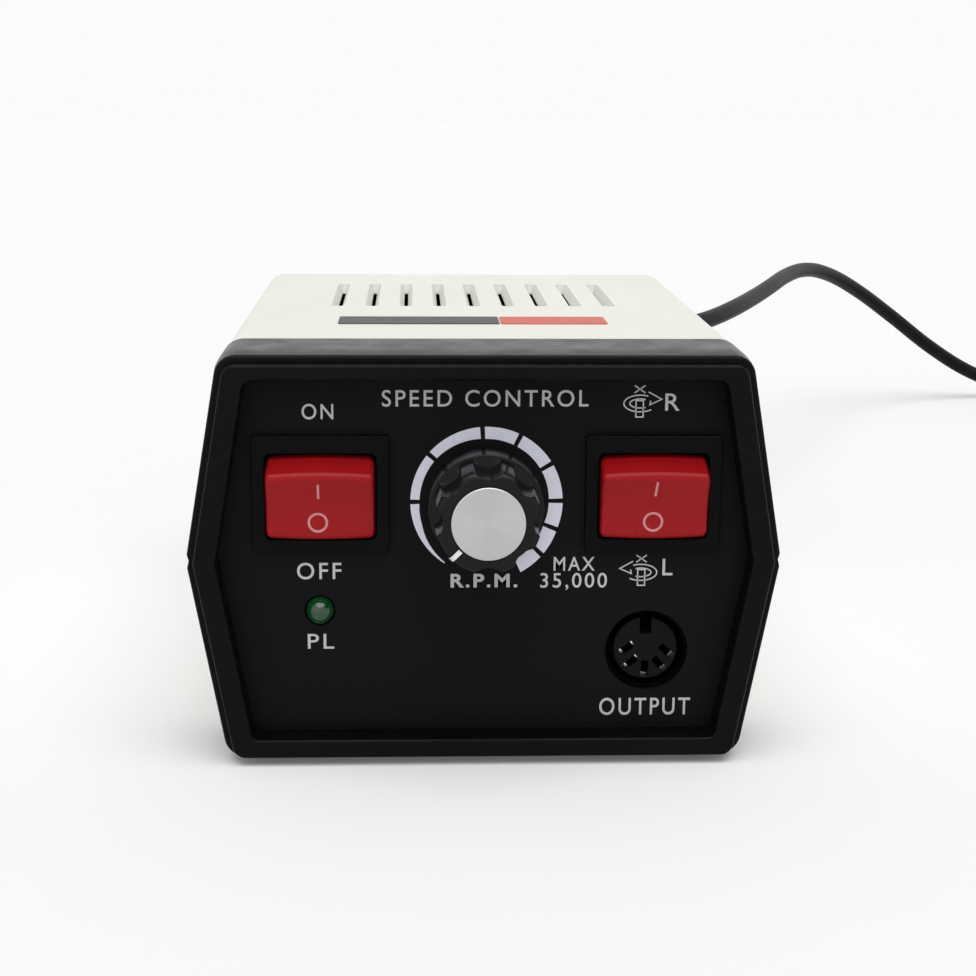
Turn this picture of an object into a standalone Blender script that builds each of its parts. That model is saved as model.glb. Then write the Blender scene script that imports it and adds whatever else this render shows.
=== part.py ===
"""A bench micromotor control box: a two-part case with a black front bezel, two rocker switches, a
speed dial, a pilot lamp and a handpiece socket, what it holds inside, and its mains lead with plug.

Metres, +Z up, +X to the right seen from the front, +Y to the back. The front face looks along -Y.
"""

import math

import bmesh
import bpy
from mathutils import Matrix, Vector

# Case
CASE_WIDTH = 0.1036
CASE_DEPTH = 0.1300
CASE_HEIGHT = 0.0716
CASE_LIFT = 0.0011
PARTING_HEIGHT = 0.0355
SIDE_LEAN_SHARE = 0.184
UPPER_LEAN_SHARE = 0.1712
CASE_WALL = 0.0022
CASE_CORNER = 0.0040
COVER_INSET = 0.0002
REAR_FLANGE_DEPTH = 0.0017
REAR_FLANGE_REACH = 0.0030
CLEARANCE = 0.0003
OVERRUN = 0.0010

# Front bezel and the plate in its recess
BEZEL_DEPTH = 0.0206
BEZEL_NOSE = 0.0016
BEZEL_WALL = 0.0024
RIM_TOP = 0.0043
RIM_BOTTOM = 0.0038
RIM_SIDE = 0.00546
RIM_TOP_CORNER = 0.0020
RIM_BOTTOM_CORNER = 0.0012
RECESS_DEPTH = 0.0052
BACKING_WALL = 0.0025
SPIGOT_LENGTH = 0.0044
SPIGOT_ROOT = 0.0046
SPIGOT_WALL = 0.0016
NOTCH_HEIGHT = 0.0044
NOTCH_DEPTH = 0.0010
PANEL_THICKNESS = 0.0010
PANEL_MARGIN = 0.0011
REAR_PANEL_THICKNESS = 0.0020

# Where the controls sit in the recess: heights as shares of its height, and the switches from the
# inner share of the case's half width out to a margin beside the recess's leaning side, both a
# little to the right of that
SWITCH_RISE_SHARE = 0.6787
DIAL_RISE_SHARE = 0.6551
LAMP_RISE_SHARE = 0.3480
SOCKET_RISE_SHARE = 0.2283
SWITCH_INNER_SHARE = 0.3272
SWITCH_SIDE_MARGIN = 0.0021
SWITCH_SHIFT = 0.0004

# Rocker switches
SWITCH_FLANGE_HEIGHT = 0.0205
SWITCH_FLANGE = 0.0013
SWITCH_BODY_INSET = 0.0008
SWITCH_BODY_DEPTH = 0.0150
SWITCH_SIDE_WALL = 0.0014
SWITCH_END_WALL = 0.0019
SWITCH_MOUTH_DROP = 0.0004
SWITCH_FLOOR = 0.0030
PIVOT_DEPTH = 0.0030
PIVOT_PIN = 0.0012
ROCKER_SIDE_GAP = 0.0004
ROCKER_HALF_BASE = 0.0069
ROCKER_HALF_FACE = 0.0058
ROCKER_RISE = 0.0062
ROCKER_DISH = 0.0008
ROCKER_DISH_STEPS = 5
ROCKER_KEEL = 0.0035
ROCKER_KEEL_HALF = 0.0015
ROCKER_SHOULDER = 0.0025
ROCKER_SHOULDER_HALF = 0.0050
ROCKER_ROUND = 0.0005
ROCKER_TILT = math.radians(12)
BLADE_WIDTH = 0.0048
BLADE_THICKNESS = 0.0008
BLADE_LENGTH = 0.0075
BLADE_PITCH = 0.0070

# Speed dial: knob, cap and shaft turn together in the potentiometer
KNOB_REACH = 0.0121
KNOB_SKIRT_RADIUS = 0.0098
KNOB_SKIRT_HEIGHT = 0.0070
KNOB_SKIRT_ROUND = 0.0006
KNOB_FOOT_RADIUS = 0.0091
KNOB_TOP_RADIUS = 0.0089
KNOB_GAP = 0.0008
KNOB_ROUND = 0.0011
KNOB_HOLLOW_RADIUS = 0.0066
FLUTES = 8
FLUTE_RADIUS = 0.0030
FLUTE_DEPTH = 0.0015
CAP_RADIUS = 0.0062
CAP_THICKNESS = 0.0010
CAP_CHAMFER = 0.0003
POINTER_WIDTH = 0.0009
POINTER_DEPTH = 0.0004
POINTER_ANGLE = math.radians(225)
SHAFT_RADIUS = 0.0030
SHAFT_IN_KNOB = 0.0080
POT_RADIUS = 0.0082
POT_DEPTH = 0.0090
POT_LUG_WIDTH = 0.0020
POT_LUG_LENGTH = 0.0060
POT_LUG_THICKNESS = 0.0006
POT_LUG_PITCH = 0.0050
BUSH_RADIUS = 0.0040
BUSH_LENGTH = 0.0030
NUT_THICKNESS = 0.0018
NUT_RADIUS = 0.0056
WASHER_RADIUS = 0.0060
WASHER_THICKNESS = 0.0006

# Pilot lamp
LAMP_RADIUS = 0.0024
LAMP_REACH = 0.0024
LAMP_FLANGE_RADIUS = 0.0029
LAMP_FLANGE = 0.0010
LAMP_LEG = 0.0005
LAMP_LEG_LENGTH = 0.0120
LAMP_LEG_PITCH = 0.00254
LAMP_CLIP_RADIUS = 0.0045
LAMP_CLIP_DEPTH = 0.0030

# Handpiece socket: a metal shell, an insulating insert and five spring contacts
SOCKET_HOLE_RADIUS = 0.0073
SOCKET_BORE_RADIUS = 0.0067
SOCKET_SHELL_WALL = 0.0009
SOCKET_FLANGE_RADIUS = 0.0096
SOCKET_FLANGE = 0.0015
SOCKET_LENGTH = 0.0120
INSERT_RADIUS = 0.0059
INSERT_BASE = 0.0030
KEY_WIDTH = 0.0020
KEY_DEPTH = 0.0021
CONTACT_CIRCLE = 0.0032
CONTACT_SLOT_LENGTH = 0.0029
CONTACT_SLOT_WIDTH = 0.0013
CONTACT_WIDTH = 0.0020
CONTACT_THICKNESS = 0.0006
CONTACT_RECESS = 0.0008
CONTACT_TAIL = 0.0040
CONTACT_ANGLES = (-4, -49, -94, -139, -184)
CONTACT_TURNS = (-44, -49, -94, -139, -144)

# Case screws, posts and rubber feet, their distance from the middle as a share of the half width
POST_SHARE = 0.6950
POST_FRONT_Y = 0.0460
POST_REAR_Y = 0.1040
POST_RADIUS = 0.0045
BOSS_RADIUS = 0.0035
SCREW_RADIUS = 0.0015
SCREW_HEAD_RADIUS = 0.0028
SCREW_HEAD = 0.0023
SCREW_LENGTH = 0.0200
SCREW_SEAT_Z = 0.0260
SCREW_RECESS_SHARE = 0.65
FOOT_FRONT_Y = 0.0300
FOOT_REAR_Y = 0.1190
FOOT_RADIUS = 0.0050
FOOT_SEAT_DEPTH = 0.0010
FOOT_ROUND = 0.0004
STOP_SHARE = 0.3835
STOP_WIDTH = 0.0100
STOP_HEIGHT = 0.0080

# Air slots in the top
SLOTS = 9
SLOT_PITCH = 0.0069
SLOT_WIDTH = 0.0025
SLOT_ROUND_SHARE = 0.98
SLOT_FRONT_Y = 0.0690
SLOT_REAR_Y = 0.1090

# Transformer, each limb of its core a share of the half width
CORE_LIMB_SHARE = 0.1764
CORE_HEIGHT = 0.0450
CORE_THICKNESS = 0.0194
CORE_Y = 0.0800
CORE_Z = 0.0063
WINDING_THICKNESS = 0.0080
STRAP_THICKNESS = 0.0012
STRAP_FOOT = 0.0105
STRAP_SCREW_REACH = 0.0049
STRAP_BOSS_RADIUS = 0.0038
PAD_HALF_X = 0.0200
PAD_HALF_Y = 0.0080

# Circuit board and its larger parts; the same small screws hold it and the transformer's strap
BOARD_SHARE = 0.5369
BOARD_FRONT_Y = 0.0275
BOARD_REAR_Y = 0.0590
BOARD_Z = 0.0103
BOARD_THICKNESS = 0.0016
BOARD_HOLE_INSET = 0.0040
STANDOFF_RADIUS = 0.0030
BOARD_PART_GAP = 0.0006
BOARD_SCREW_LENGTH = 0.0060
SMALL_SCREW_RADIUS = 0.0012
SMALL_SCREW_HEAD_RADIUS = 0.0024
SMALL_SCREW_HEAD = 0.0016
SMALL_SCREW_CROWN_SHARE = 0.7
CAPACITOR_RADIUS = 0.0080
CAPACITOR_HEIGHT = 0.0250
CAPACITOR_SHARE = -0.2876
CAPACITOR_Y = 0.0440
RECTIFIER_WIDTH = 0.0150
RECTIFIER_DEPTH = 0.0040
RECTIFIER_HEIGHT = 0.0120
RECTIFIER_Y = 0.0330
SINK_GAP = 0.0020
SINK_BASE = 0.0030
SINK_DEPTH = 0.0120
SINK_HEIGHT = 0.0240
SINK_Y = 0.0440
SINK_FINS = 5
SINK_FIN = 0.0016
TRANSISTOR_WIDTH = 0.0100
TRANSISTOR_HEIGHT = 0.0155
TRANSISTOR_THICKNESS = 0.0044
TRANSISTOR_BODY_SHARE = 0.6

# Fuse holder and foot pedal jack in the rear panel, across it as shares of the half width
FUSE_SHARE = -0.3861
FUSE_DROP = 0.0227
FUSE_TUBE_RADIUS = 0.0060
FUSE_BORE_RADIUS = 0.0033
FUSE_FLOOR = 0.0030
FUSE_INSIDE = 0.0270
FUSE_FLANGE_RADIUS = 0.0076
FUSE_FLANGE = 0.0020
FUSE_CAP_RADIUS = 0.0056
FUSE_CAP_HEIGHT = 0.0064
FUSE_CAP_STEM = 0.0060
FUSE_CAP_ROUND = 0.0006
FUSE_CAP_SLOT = 0.0008
FUSE_RADIUS = 0.0026
FUSE_LENGTH = 0.0190
FUSE_NUT_RADIUS = 0.0085
FUSE_NUT = 0.0030
JACK_SHARE = 0.1544
JACK_Z = 0.0300
JACK_RADIUS = 0.0072
JACK_INSIDE = 0.0240
JACK_BUSH_RADIUS = 0.0046
JACK_BORE_RADIUS = 0.0033
JACK_FLOOR = 0.0030
JACK_REACH = 0.0030
JACK_NUT_RADIUS = 0.0068
JACK_NUT = 0.0020

# Mains lead: its moulded relief, the free stretch, the coil with its tie, and the plug
CORD_RADIUS = 0.0024
CORD_EXIT_INSET = 0.01365
CORD_EXIT_Z = 0.0492
RELIEF_LENGTH = 0.0210
RELIEF_RADIUS = 0.0048
RELIEF_TIP_RADIUS = 0.0032
RELIEF_NECK_RADIUS = 0.0040
RELIEF_HEAD_RADIUS = 0.0052
RELIEF_HEAD = 0.0025
RELIEF_RIBS = 4
RELIEF_GROOVE = 0.0005
RIB_START_SHARE = 0.15
RIB_END_SHARE = 0.60
GROOVE_END_SHARE = 0.87
RIB_TAIL_SHARE = 0.50
RELIEF_TIP_SHARE = 0.94
CORD_LIE = 0.0001
COIL_TURNS = 6.25
CLIMB_TURNS = 0.5
COIL_POINTS_A_TURN = 24
COIL_PITCH = 0.0054
COIL_RADIUS = 0.0370
COIL_TIE_LIFT = 0.0012
COIL_TIE_ANGLE = math.radians(-90)
COIL_LIFT_SPREAD = math.radians(70)
COIL_TAIL = 0.0300
COIL_TAIL_STEPS = 4
TIE_WIDTH = 0.0080
TIE_THICKNESS = 0.0008
TIE_SLACK = 0.0005
TIE_CORNER = 0.0024
PLUG_WIDTH = 0.0353
PLUG_NECK_WIDTH = 0.0120
PLUG_THICKNESS = 0.0137
PLUG_LENGTH = 0.0350
PLUG_SHOULDER = 0.0140
PLUG_CORNER = 0.0035
PLUG_ROUND = 0.0015
PLUG_RELIEF = 0.0200
PLUG_RELIEF_RADIUS = 0.0045
PLUG_RELIEF_TIP = 0.0032
PIN_RADIUS = 0.0020
PIN_LENGTH = 0.0190
PIN_SEAT = 0.0080
PIN_SPACING = 0.0182
PIN_TIP = 0.0008

# The free stretch of the lead: X from its exit, Y behind the rear panel and Z, from the relief to the coil
CORD_ROUTE = (
    (0.0000, 0.0213, 0.0492),
    (0.0002, 0.0280, 0.0494),
    (0.0016, 0.0352, 0.0497),
    (0.0047, 0.0422, 0.0501),
    (0.0095, 0.0490, 0.0505),
    (0.0153, 0.0562, 0.0510),
    (0.0226, 0.0660, 0.0516),
    (0.0324, 0.0797, 0.0522),
    (0.0421, 0.0977, 0.0530),
    (0.0522, 0.1207, 0.0537),
    (0.0605, 0.1407, 0.0545),
    (0.0685, 0.1620, 0.0549),
    (0.0779, 0.1837, 0.0547),
    (0.0871, 0.2003, 0.0530),
    (0.0981, 0.2154, 0.0486),
    (0.1109, 0.2283, 0.0412),
    (0.1251, 0.2384, 0.0314),
    (0.1401, 0.2458, 0.0205),
    (0.1553, 0.2506, 0.0112),
    (0.1701, 0.2531, 0.0052),
    (0.1843, 0.2540, 0.0028),
    (0.1972, 0.2540, 0.0025),
)
CORD_STEPS = 64
SPLINE_STEPS = 24

# What follows from those sizes
HALF_WIDTH = CASE_WIDTH / 2
TOP_Z = CASE_LIFT + CASE_HEIGHT
PARTING_Z = CASE_LIFT + PARTING_HEIGHT
SLANT_SHARE = math.hypot(1, SIDE_LEAN_SHARE)
COVER_FRONT_Y = BEZEL_DEPTH + CLEARANCE
COVER_INNER = COVER_INSET + CASE_WALL
FLOOR_Z = CASE_LIFT + COVER_INNER
ROOF_Z = TOP_Z - COVER_INNER
PANEL_BACK_Y = RECESS_DEPTH + PANEL_THICKNESS
BACKING_FRONT_Y = PANEL_BACK_Y + CLEARANCE
BACKING_REAR_Y = BACKING_FRONT_Y + BACKING_WALL
BEHIND_Y = BACKING_REAR_Y + CLEARANCE
REAR_PANEL_Y = CASE_DEPTH - REAR_FLANGE_DEPTH - CLEARANCE
REAR_INSIDE_Y = REAR_PANEL_Y - REAR_PANEL_THICKNESS
SWITCH_FACE_Y = RECESS_DEPTH - CLEARANCE - SWITCH_FLANGE
PIVOT_Y = SWITCH_FACE_Y + PIVOT_DEPTH
REAR_REACH_Y = REAR_PANEL_Y + CLEARANCE + FUSE_FLANGE + CLEARANCE + FUSE_CAP_HEIGHT
FRONT_Y = (KNOB_REACH - REAR_REACH_Y) / 2
RECESS_LOW_Z = CASE_LIFT + RIM_BOTTOM
RECESS_HEIGHT = CASE_HEIGHT - RIM_BOTTOM - RIM_TOP
SWITCH_Z = RECESS_LOW_Z + RECESS_HEIGHT * SWITCH_RISE_SHARE
DIAL_Z = RECESS_LOW_Z + RECESS_HEIGHT * DIAL_RISE_SHARE
LAMP_Z = RECESS_LOW_Z + RECESS_HEIGHT * LAMP_RISE_SHARE
SOCKET_Z = RECESS_LOW_Z + RECESS_HEIGHT * SOCKET_RISE_SHARE
SWITCH_LEAN = UPPER_LEAN_SHARE * (SWITCH_Z + SWITCH_FLANGE_HEIGHT / 2 - PARTING_Z)
SWITCH_OUTER_X = HALF_WIDTH - RIM_SIDE * SLANT_SHARE - SWITCH_LEAN - SWITCH_SIDE_MARGIN
SWITCH_INNER_X = HALF_WIDTH * SWITCH_INNER_SHARE
SWITCH_FLANGE_WIDTH = SWITCH_OUTER_X - SWITCH_INNER_X
COLUMN_X = (SWITCH_OUTER_X + SWITCH_INNER_X) / 2
POST_X = HALF_WIDTH * POST_SHARE
STOP_X = HALF_WIDTH * STOP_SHARE
CORE_LIMB = HALF_WIDTH * CORE_LIMB_SHARE
STRAP_X = CORE_LIMB * 3 + CLEARANCE + STRAP_THICKNESS
STRAP_SCREW_X = STRAP_X + STRAP_SCREW_REACH
BOARD_HALF_X = HALF_WIDTH * BOARD_SHARE
CAPACITOR_X = HALF_WIDTH * CAPACITOR_SHARE
BOARD_PARTS_RIGHT_X = BOARD_HALF_X - BOARD_HOLE_INSET - SMALL_SCREW_HEAD_RADIUS - BOARD_PART_GAP
RECTIFIER_X = BOARD_PARTS_RIGHT_X - RECTIFIER_WIDTH / 2
SINK_LEFT_X = CAPACITOR_X + CAPACITOR_RADIUS + SINK_GAP
SINK_WIDTH = BOARD_PARTS_RIGHT_X - SINK_LEFT_X
SINK_X = SINK_LEFT_X + SINK_WIDTH / 2
FUSE_X = HALF_WIDTH * FUSE_SHARE
FUSE_Z = TOP_Z - FUSE_DROP
JACK_X = HALF_WIDTH * JACK_SHARE
CORD_EXIT_X = HALF_WIDTH - CORD_EXIT_INSET
COIL_END_Z = PLUG_THICKNESS / 2 + CORD_LIE
ROUND = 28
COARSE = 16

# Colours, then roughness and metallic value
FINISHES = {
    "cream_plastic": ((0.83, 0.83, 0.76), 0.45, 0.0),
    "black_plastic": ((0.02, 0.02, 0.02), 0.35, 0.0),
    "black_panel": ((0.015, 0.015, 0.015), 0.50, 0.0),
    "red_rocker": ((0.62, 0.02, 0.02), 0.25, 0.0),
    "brushed_aluminium": ((0.75, 0.75, 0.76), 0.35, 1.0),
    "green_lens": ((0.05, 0.45, 0.12), 0.15, 0.0),
    "grey_insulator": ((0.22, 0.22, 0.22), 0.50, 0.0),
    "steel": ((0.60, 0.60, 0.62), 0.30, 1.0),
    "brass": ((0.75, 0.58, 0.25), 0.35, 1.0),
    "rubber": ((0.03, 0.03, 0.03), 0.80, 0.0),
    "core_iron": ((0.25, 0.25, 0.27), 0.50, 0.8),
    "winding_tape": ((0.70, 0.50, 0.12), 0.50, 0.0),
    "board_green": ((0.04, 0.20, 0.08), 0.45, 0.0),
    "capacitor_sleeve": ((0.03, 0.05, 0.16), 0.35, 0.0),
    "fuse_glass": ((0.80, 0.85, 0.85), 0.05, 0.0),
    "cord_rubber": ((0.02, 0.02, 0.02), 0.45, 0.0),
}

MODEL = "micromotor_polisher"
SHAPERS = "cutters"


def clear_scene():
    for obj in list(bpy.data.objects):
        bpy.data.objects.remove(obj, do_unlink=True)
    for name in (MODEL, SHAPERS):
        bpy.context.scene.collection.children.link(bpy.data.collections.new(name))
    bpy.data.collections[SHAPERS].hide_render = True


def finish(name):
    """The material of this name, made the first time it is asked for."""
    if name in bpy.data.materials:
        return bpy.data.materials[name]
    colour, roughness, metallic = FINISHES[name]
    made = bpy.data.materials.new(name)
    made.use_nodes = True
    shader = made.node_tree.nodes["Principled BSDF"]
    shader.inputs["Base Color"].default_value = (*colour, 1)
    shader.inputs["Roughness"].default_value = roughness
    shader.inputs["Metallic"].default_value = metallic
    return made


def case_frame():
    """The empty at the middle of the bezel's lip, on the surface the box stands on."""
    if MODEL + "_frame" in bpy.data.objects:
        return bpy.data.objects[MODEL + "_frame"]
    empty = bpy.data.objects.new(MODEL + "_frame", None)
    empty.location = (0, FRONT_Y, 0)
    bpy.data.collections[MODEL].objects.link(empty)
    return empty


def part(name, mesh, material, location=(0, 0, 0)):
    """A visible piece: this mesh as an object under the case frame."""
    mesh.name = name
    obj = bpy.data.objects.new(name, mesh)
    bpy.data.collections[MODEL].objects.link(obj)
    obj.parent = case_frame()
    obj.location = location
    mesh.materials.clear()
    mesh.materials.append(finish(material))
    smooth(obj)
    return obj


def smooth(obj):
    obj.data.shade_smooth()
    obj.data.set_sharp_from_angle(angle=math.radians(35))


def shaper(mesh, location=(0, 0, 0)):
    """A hidden solid that cuts a piece or is joined to it."""
    obj = bpy.data.objects.new("shaper", mesh)
    bpy.data.collections[SHAPERS].objects.link(obj)
    obj.parent = case_frame()
    obj.location = location
    obj.hide_render = True
    obj.display_type = "WIRE"
    return obj


def shape(obj, operation, meshes, location=(0, 0, 0)):
    for mesh in meshes:
        modifier = obj.modifiers.new(operation.lower(), "BOOLEAN")
        modifier.operation = operation
        modifier.solver = "EXACT"
        modifier.object = shaper(mesh, location)


def cut(obj, *meshes, location=(0, 0, 0)):
    shape(obj, "DIFFERENCE", meshes, location)


def join(obj, *meshes, location=(0, 0, 0)):
    shape(obj, "UNION", meshes, location)


def mesh_of(build):
    """A mesh from what this function makes in a bmesh."""
    bm = bmesh.new()
    build(bm)
    bmesh.ops.recalc_face_normals(bm, faces=bm.faces)
    mesh = bpy.data.meshes.new("piece")
    bm.to_mesh(mesh)
    bm.free()
    return mesh


def box(low, high):
    low, high = Vector(low), Vector(high)
    middle = Matrix.Translation((low + high) / 2)
    return mesh_of(
        lambda bm: bmesh.ops.create_cube(bm, size=1, matrix=middle @ Matrix.Diagonal((*(high - low), 1)))
    )


ALONG = {
    "X": Matrix(((0, 0, 1, 0), (1, 0, 0, 0), (0, 1, 0, 0), (0, 0, 0, 1))),
    "Y": Matrix(((1, 0, 0, 0), (0, 0, -1, 0), (0, 1, 0, 0), (0, 0, 0, 1))),
    "Z": Matrix.Identity(4),
}


def rod(radius, start, end, segments=COARSE, tip=None):
    """A cylinder, or a cone that ends at radius tip, from one point to another."""
    start, end = Vector(start), Vector(end)
    length = (end - start).length
    turn = (end - start).to_track_quat("Z", "Y").to_matrix().to_4x4()
    place = Matrix.Translation((start + end) / 2) @ turn
    return mesh_of(
        lambda bm: bmesh.ops.create_cone(
            bm,
            cap_ends=True,
            segments=segments,
            radius1=radius,
            radius2=radius if tip is None else tip,
            depth=length,
            matrix=place,
        )
    )


def from_curve(curve):
    """The closed mesh of a curve, with its loose caps welded on."""
    holder = bpy.data.objects.new("curve", curve)
    bpy.context.scene.collection.objects.link(holder)
    bpy.context.view_layer.update()
    graph = bpy.context.evaluated_depsgraph_get()
    mesh = bpy.data.meshes.new_from_object(holder.evaluated_get(graph))
    bpy.data.objects.remove(holder)
    bm = bmesh.new()
    bm.from_mesh(mesh)
    bmesh.ops.remove_doubles(bm, verts=bm.verts, dist=CLEARANCE / 100)
    bmesh.ops.recalc_face_normals(bm, faces=bm.faces)
    bm.to_mesh(mesh)
    bm.free()
    return mesh


def prism(outlines, low, high, along):
    """Flat outlines, the second and later ones being holes, drawn out from low to high along an axis.

    Their pairs are Y and Z along X, X and Z along Y, and X and Y along Z.
    """
    curve = bpy.data.curves.new("outline", "CURVE")
    curve.dimensions = "2D"
    curve.fill_mode = "BOTH"
    curve.extrude = (high - low) / 2
    for outline in outlines:
        spline = curve.splines.new("POLY")
        spline.points.add(len(outline) - 1)
        for point, place in zip(spline.points, outline):
            point.co = (*place, 0, 1)
        spline.use_cyclic_u = True
    mesh = from_curve(curve)
    shift = ALONG[along].to_3x3() @ Vector((0, 0, (low + high) / 2))
    if along == "Y":
        shift = -shift
    mesh.transform(Matrix.Translation(shift) @ ALONG[along])
    return mesh


def turned(profile, along, segments=ROUND):
    """A profile of radius and height, from the top down the outer side, turned about an axis."""
    mesh = bpy.data.meshes.new("profile")
    mesh.from_pydata(
        [(radius, 0, height) for radius, height in profile],
        [(i, i + 1) for i in range(len(profile) - 1)],
        [],
    )
    holder = bpy.data.objects.new("turned", mesh)
    bpy.context.scene.collection.objects.link(holder)
    screw = holder.modifiers.new("turn", "SCREW")
    screw.steps = screw.render_steps = segments
    screw.use_merge_vertices = True
    screw.merge_threshold = 0.00001
    bpy.context.view_layer.update()
    graph = bpy.context.evaluated_depsgraph_get()
    made = bpy.data.meshes.new_from_object(holder.evaluated_get(graph))
    bpy.data.objects.remove(holder)
    bm = bmesh.new()
    bm.from_mesh(made)
    bmesh.ops.recalc_face_normals(bm, faces=bm.faces)
    bm.to_mesh(made)
    bm.free()
    made.transform(ALONG[along])
    return made


def rounded(corners, radii, steps=4):
    """The closed outline through these corners, each rounded to its radius."""
    outline = []
    for i, corner in enumerate(corners):
        here = Vector(corner)
        back = (Vector(corners[i - 1]) - here).normalized()
        on = (Vector(corners[(i + 1) % len(corners)]) - here).normalized()
        radius = radii[i] if isinstance(radii, (list, tuple)) else radii
        if radius <= 0:
            outline.append(tuple(here))
            continue
        half = back.angle(on) / 2
        centre = here + (back + on).normalized() * radius / math.sin(half)
        first = here + back * radius / math.tan(half) - centre
        last = here + on * radius / math.tan(half) - centre
        start = math.atan2(first.y, first.x)
        sweep = (math.atan2(last.y, last.x) - start + math.pi) % math.tau - math.pi
        for step in range(steps + 1):
            angle = start + sweep * step / steps
            outline.append((centre.x + radius * math.cos(angle), centre.y + radius * math.sin(angle)))
    return outline


def rectangle(centre, width, height, radius=0, steps=4):
    x, z = centre
    left, right = x - width / 2, x + width / 2
    low, high = z - height / 2, z + height / 2
    return rounded(((right, high), (left, high), (left, low), (right, low)), radius, steps)


def circle(centre, radius, segments=ROUND):
    x, z = centre
    turns = [math.tau * i / segments for i in range(segments)]
    return [(x + radius * math.cos(turn), z + radius * math.sin(turn)) for turn in turns]


def six_sided(half_width, low, high, top_corner, bottom_corner, steps=5):
    """The case's section: widest at the parting line, leaning in above and below it."""
    top = half_width - UPPER_LEAN_SHARE * (high - PARTING_Z)
    bottom = half_width - SIDE_LEAN_SHARE * (PARTING_Z - low)
    corners = (
        (half_width, PARTING_Z),
        (top, high),
        (-top, high),
        (-half_width, PARTING_Z),
        (-bottom, low),
        (bottom, low),
    )
    return rounded(corners, (0, top_corner, top_corner, 0, bottom_corner, bottom_corner), steps)


def section(inset):
    corner = max(CASE_CORNER - inset, CASE_CORNER / 4)
    return six_sided(HALF_WIDTH - inset * SLANT_SHARE, CASE_LIFT + inset, TOP_Z - inset, corner, corner)


def opening(inset):
    """The outline of the bezel's recess, drawn in by inset."""
    return six_sided(
        HALF_WIDTH - (RIM_SIDE + inset) * SLANT_SHARE,
        RECESS_LOW_Z + inset,
        TOP_Z - RIM_TOP - inset,
        RIM_TOP_CORNER,
        RIM_BOTTOM_CORNER,
    )


def half_section(outer, inner, upper):
    """The wall between two insets of the section, on one side of the parting plane."""
    side = 1 if upper else -1
    plane = PARTING_Z + side * CLEARANCE / 2
    sides = []
    for inset in (outer, inner):
        width = HALF_WIDTH - inset * SLANT_SHARE - SIDE_LEAN_SHARE * CLEARANCE / 2
        kept = [point for point in section(inset) if side * (point[1] - PARTING_Z) > CLEARANCE]
        kept.sort(key=lambda point: math.atan2(side * (point[1] - PARTING_Z), side * point[0]))
        sides.append([(side * width, plane), *kept, (-side * width, plane)])
    return sides[0] + sides[1][::-1]


def bevel_front(mesh, y, width, segments):
    """Rounds the edges that lie in the plane of this Y."""
    bm = bmesh.new()
    bm.from_mesh(mesh)
    edges = [edge for edge in bm.edges if all(abs(vert.co.y - y) < CLEARANCE / 10 for vert in edge.verts)]
    edges = [edge for edge in edges if len({round(face.normal.y) for face in edge.link_faces}) > 1]
    bmesh.ops.bevel(bm, geom=edges, offset=width, segments=segments, profile=0.5, affect="EDGES")
    bm.to_mesh(mesh)
    bm.free()
    return mesh


def soften(obj, width, segments=2):
    modifier = obj.modifiers.new("soften", "BEVEL")
    modifier.width = width
    modifier.segments = segments
    modifier.limit_method = "ANGLE"
    modifier.angle_limit = math.radians(40)


def control_places():
    """Each hole in the front plate: its outline, and how far the backing wall's hole stands off it."""
    width = SWITCH_FLANGE_WIDTH - 2 * (SWITCH_BODY_INSET - CLEARANCE)
    height = SWITCH_FLANGE_HEIGHT - 2 * (SWITCH_BODY_INSET - CLEARANCE)
    left, right = [
        rectangle((side * COLUMN_X + SWITCH_SHIFT, SWITCH_Z), width, height) for side in (-1, 1)
    ]
    bush = circle((0, DIAL_Z), BUSH_RADIUS + CLEARANCE)
    lamp, socket = (-COLUMN_X, LAMP_Z), (COLUMN_X, SOCKET_Z)
    shell_radius = SOCKET_BORE_RADIUS + SOCKET_SHELL_WALL
    return (
        (left, left),
        (right, right),
        (bush, bush),
        (circle(lamp, LAMP_RADIUS + CLEARANCE, COARSE), circle(lamp, LAMP_FLANGE_RADIUS + CLEARANCE, COARSE)),
        (circle(socket, SOCKET_HOLE_RADIUS), circle(socket, shell_radius + CLEARANCE)),
    )


def make_bezel():
    rim = bevel_front(prism([section(0)], 0, BEZEL_DEPTH, "Y"), 0, BEZEL_NOSE, 4)
    bezel = part("front_bezel", rim, "black_plastic")
    spigot_outer = COVER_INNER + CLEARANCE
    spigot_inner = spigot_outer + SPIGOT_WALL
    root_y = BEZEL_DEPTH - SPIGOT_ROOT
    end_y = BEZEL_DEPTH + SPIGOT_LENGTH
    join(bezel, prism([section(spigot_outer)], root_y, end_y, "Y"))
    cut(
        bezel,
        prism([opening(0)], -OVERRUN, RECESS_DEPTH, "Y"),
        prism([opening(PANEL_MARGIN - CLEARANCE)], RECESS_DEPTH - OVERRUN, BACKING_FRONT_Y, "Y"),
        prism([section(BEZEL_WALL)], BACKING_REAR_Y, root_y, "Y"),
        prism([section(spigot_inner)], root_y - OVERRUN, end_y + OVERRUN, "Y"),
    )
    for _, behind in control_places():
        cut(bezel, prism([behind], BACKING_FRONT_Y - OVERRUN, BACKING_REAR_Y + OVERRUN, "Y"))
    half = NOTCH_HEIGHT / 2
    flare = half * (NOTCH_DEPTH + OVERRUN) / (NOTCH_DEPTH - SIDE_LEAN_SHARE * half)
    outside = HALF_WIDTH + OVERRUN
    for side in (-1, 1):
        groove = (
            (side * outside, PARTING_Z + flare),
            (side * (HALF_WIDTH - NOTCH_DEPTH), PARTING_Z),
            (side * outside, PARTING_Z - flare),
        )
        cut(bezel, prism([groove], -OVERRUN, BEZEL_DEPTH + OVERRUN / 2, "Y"))


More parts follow.
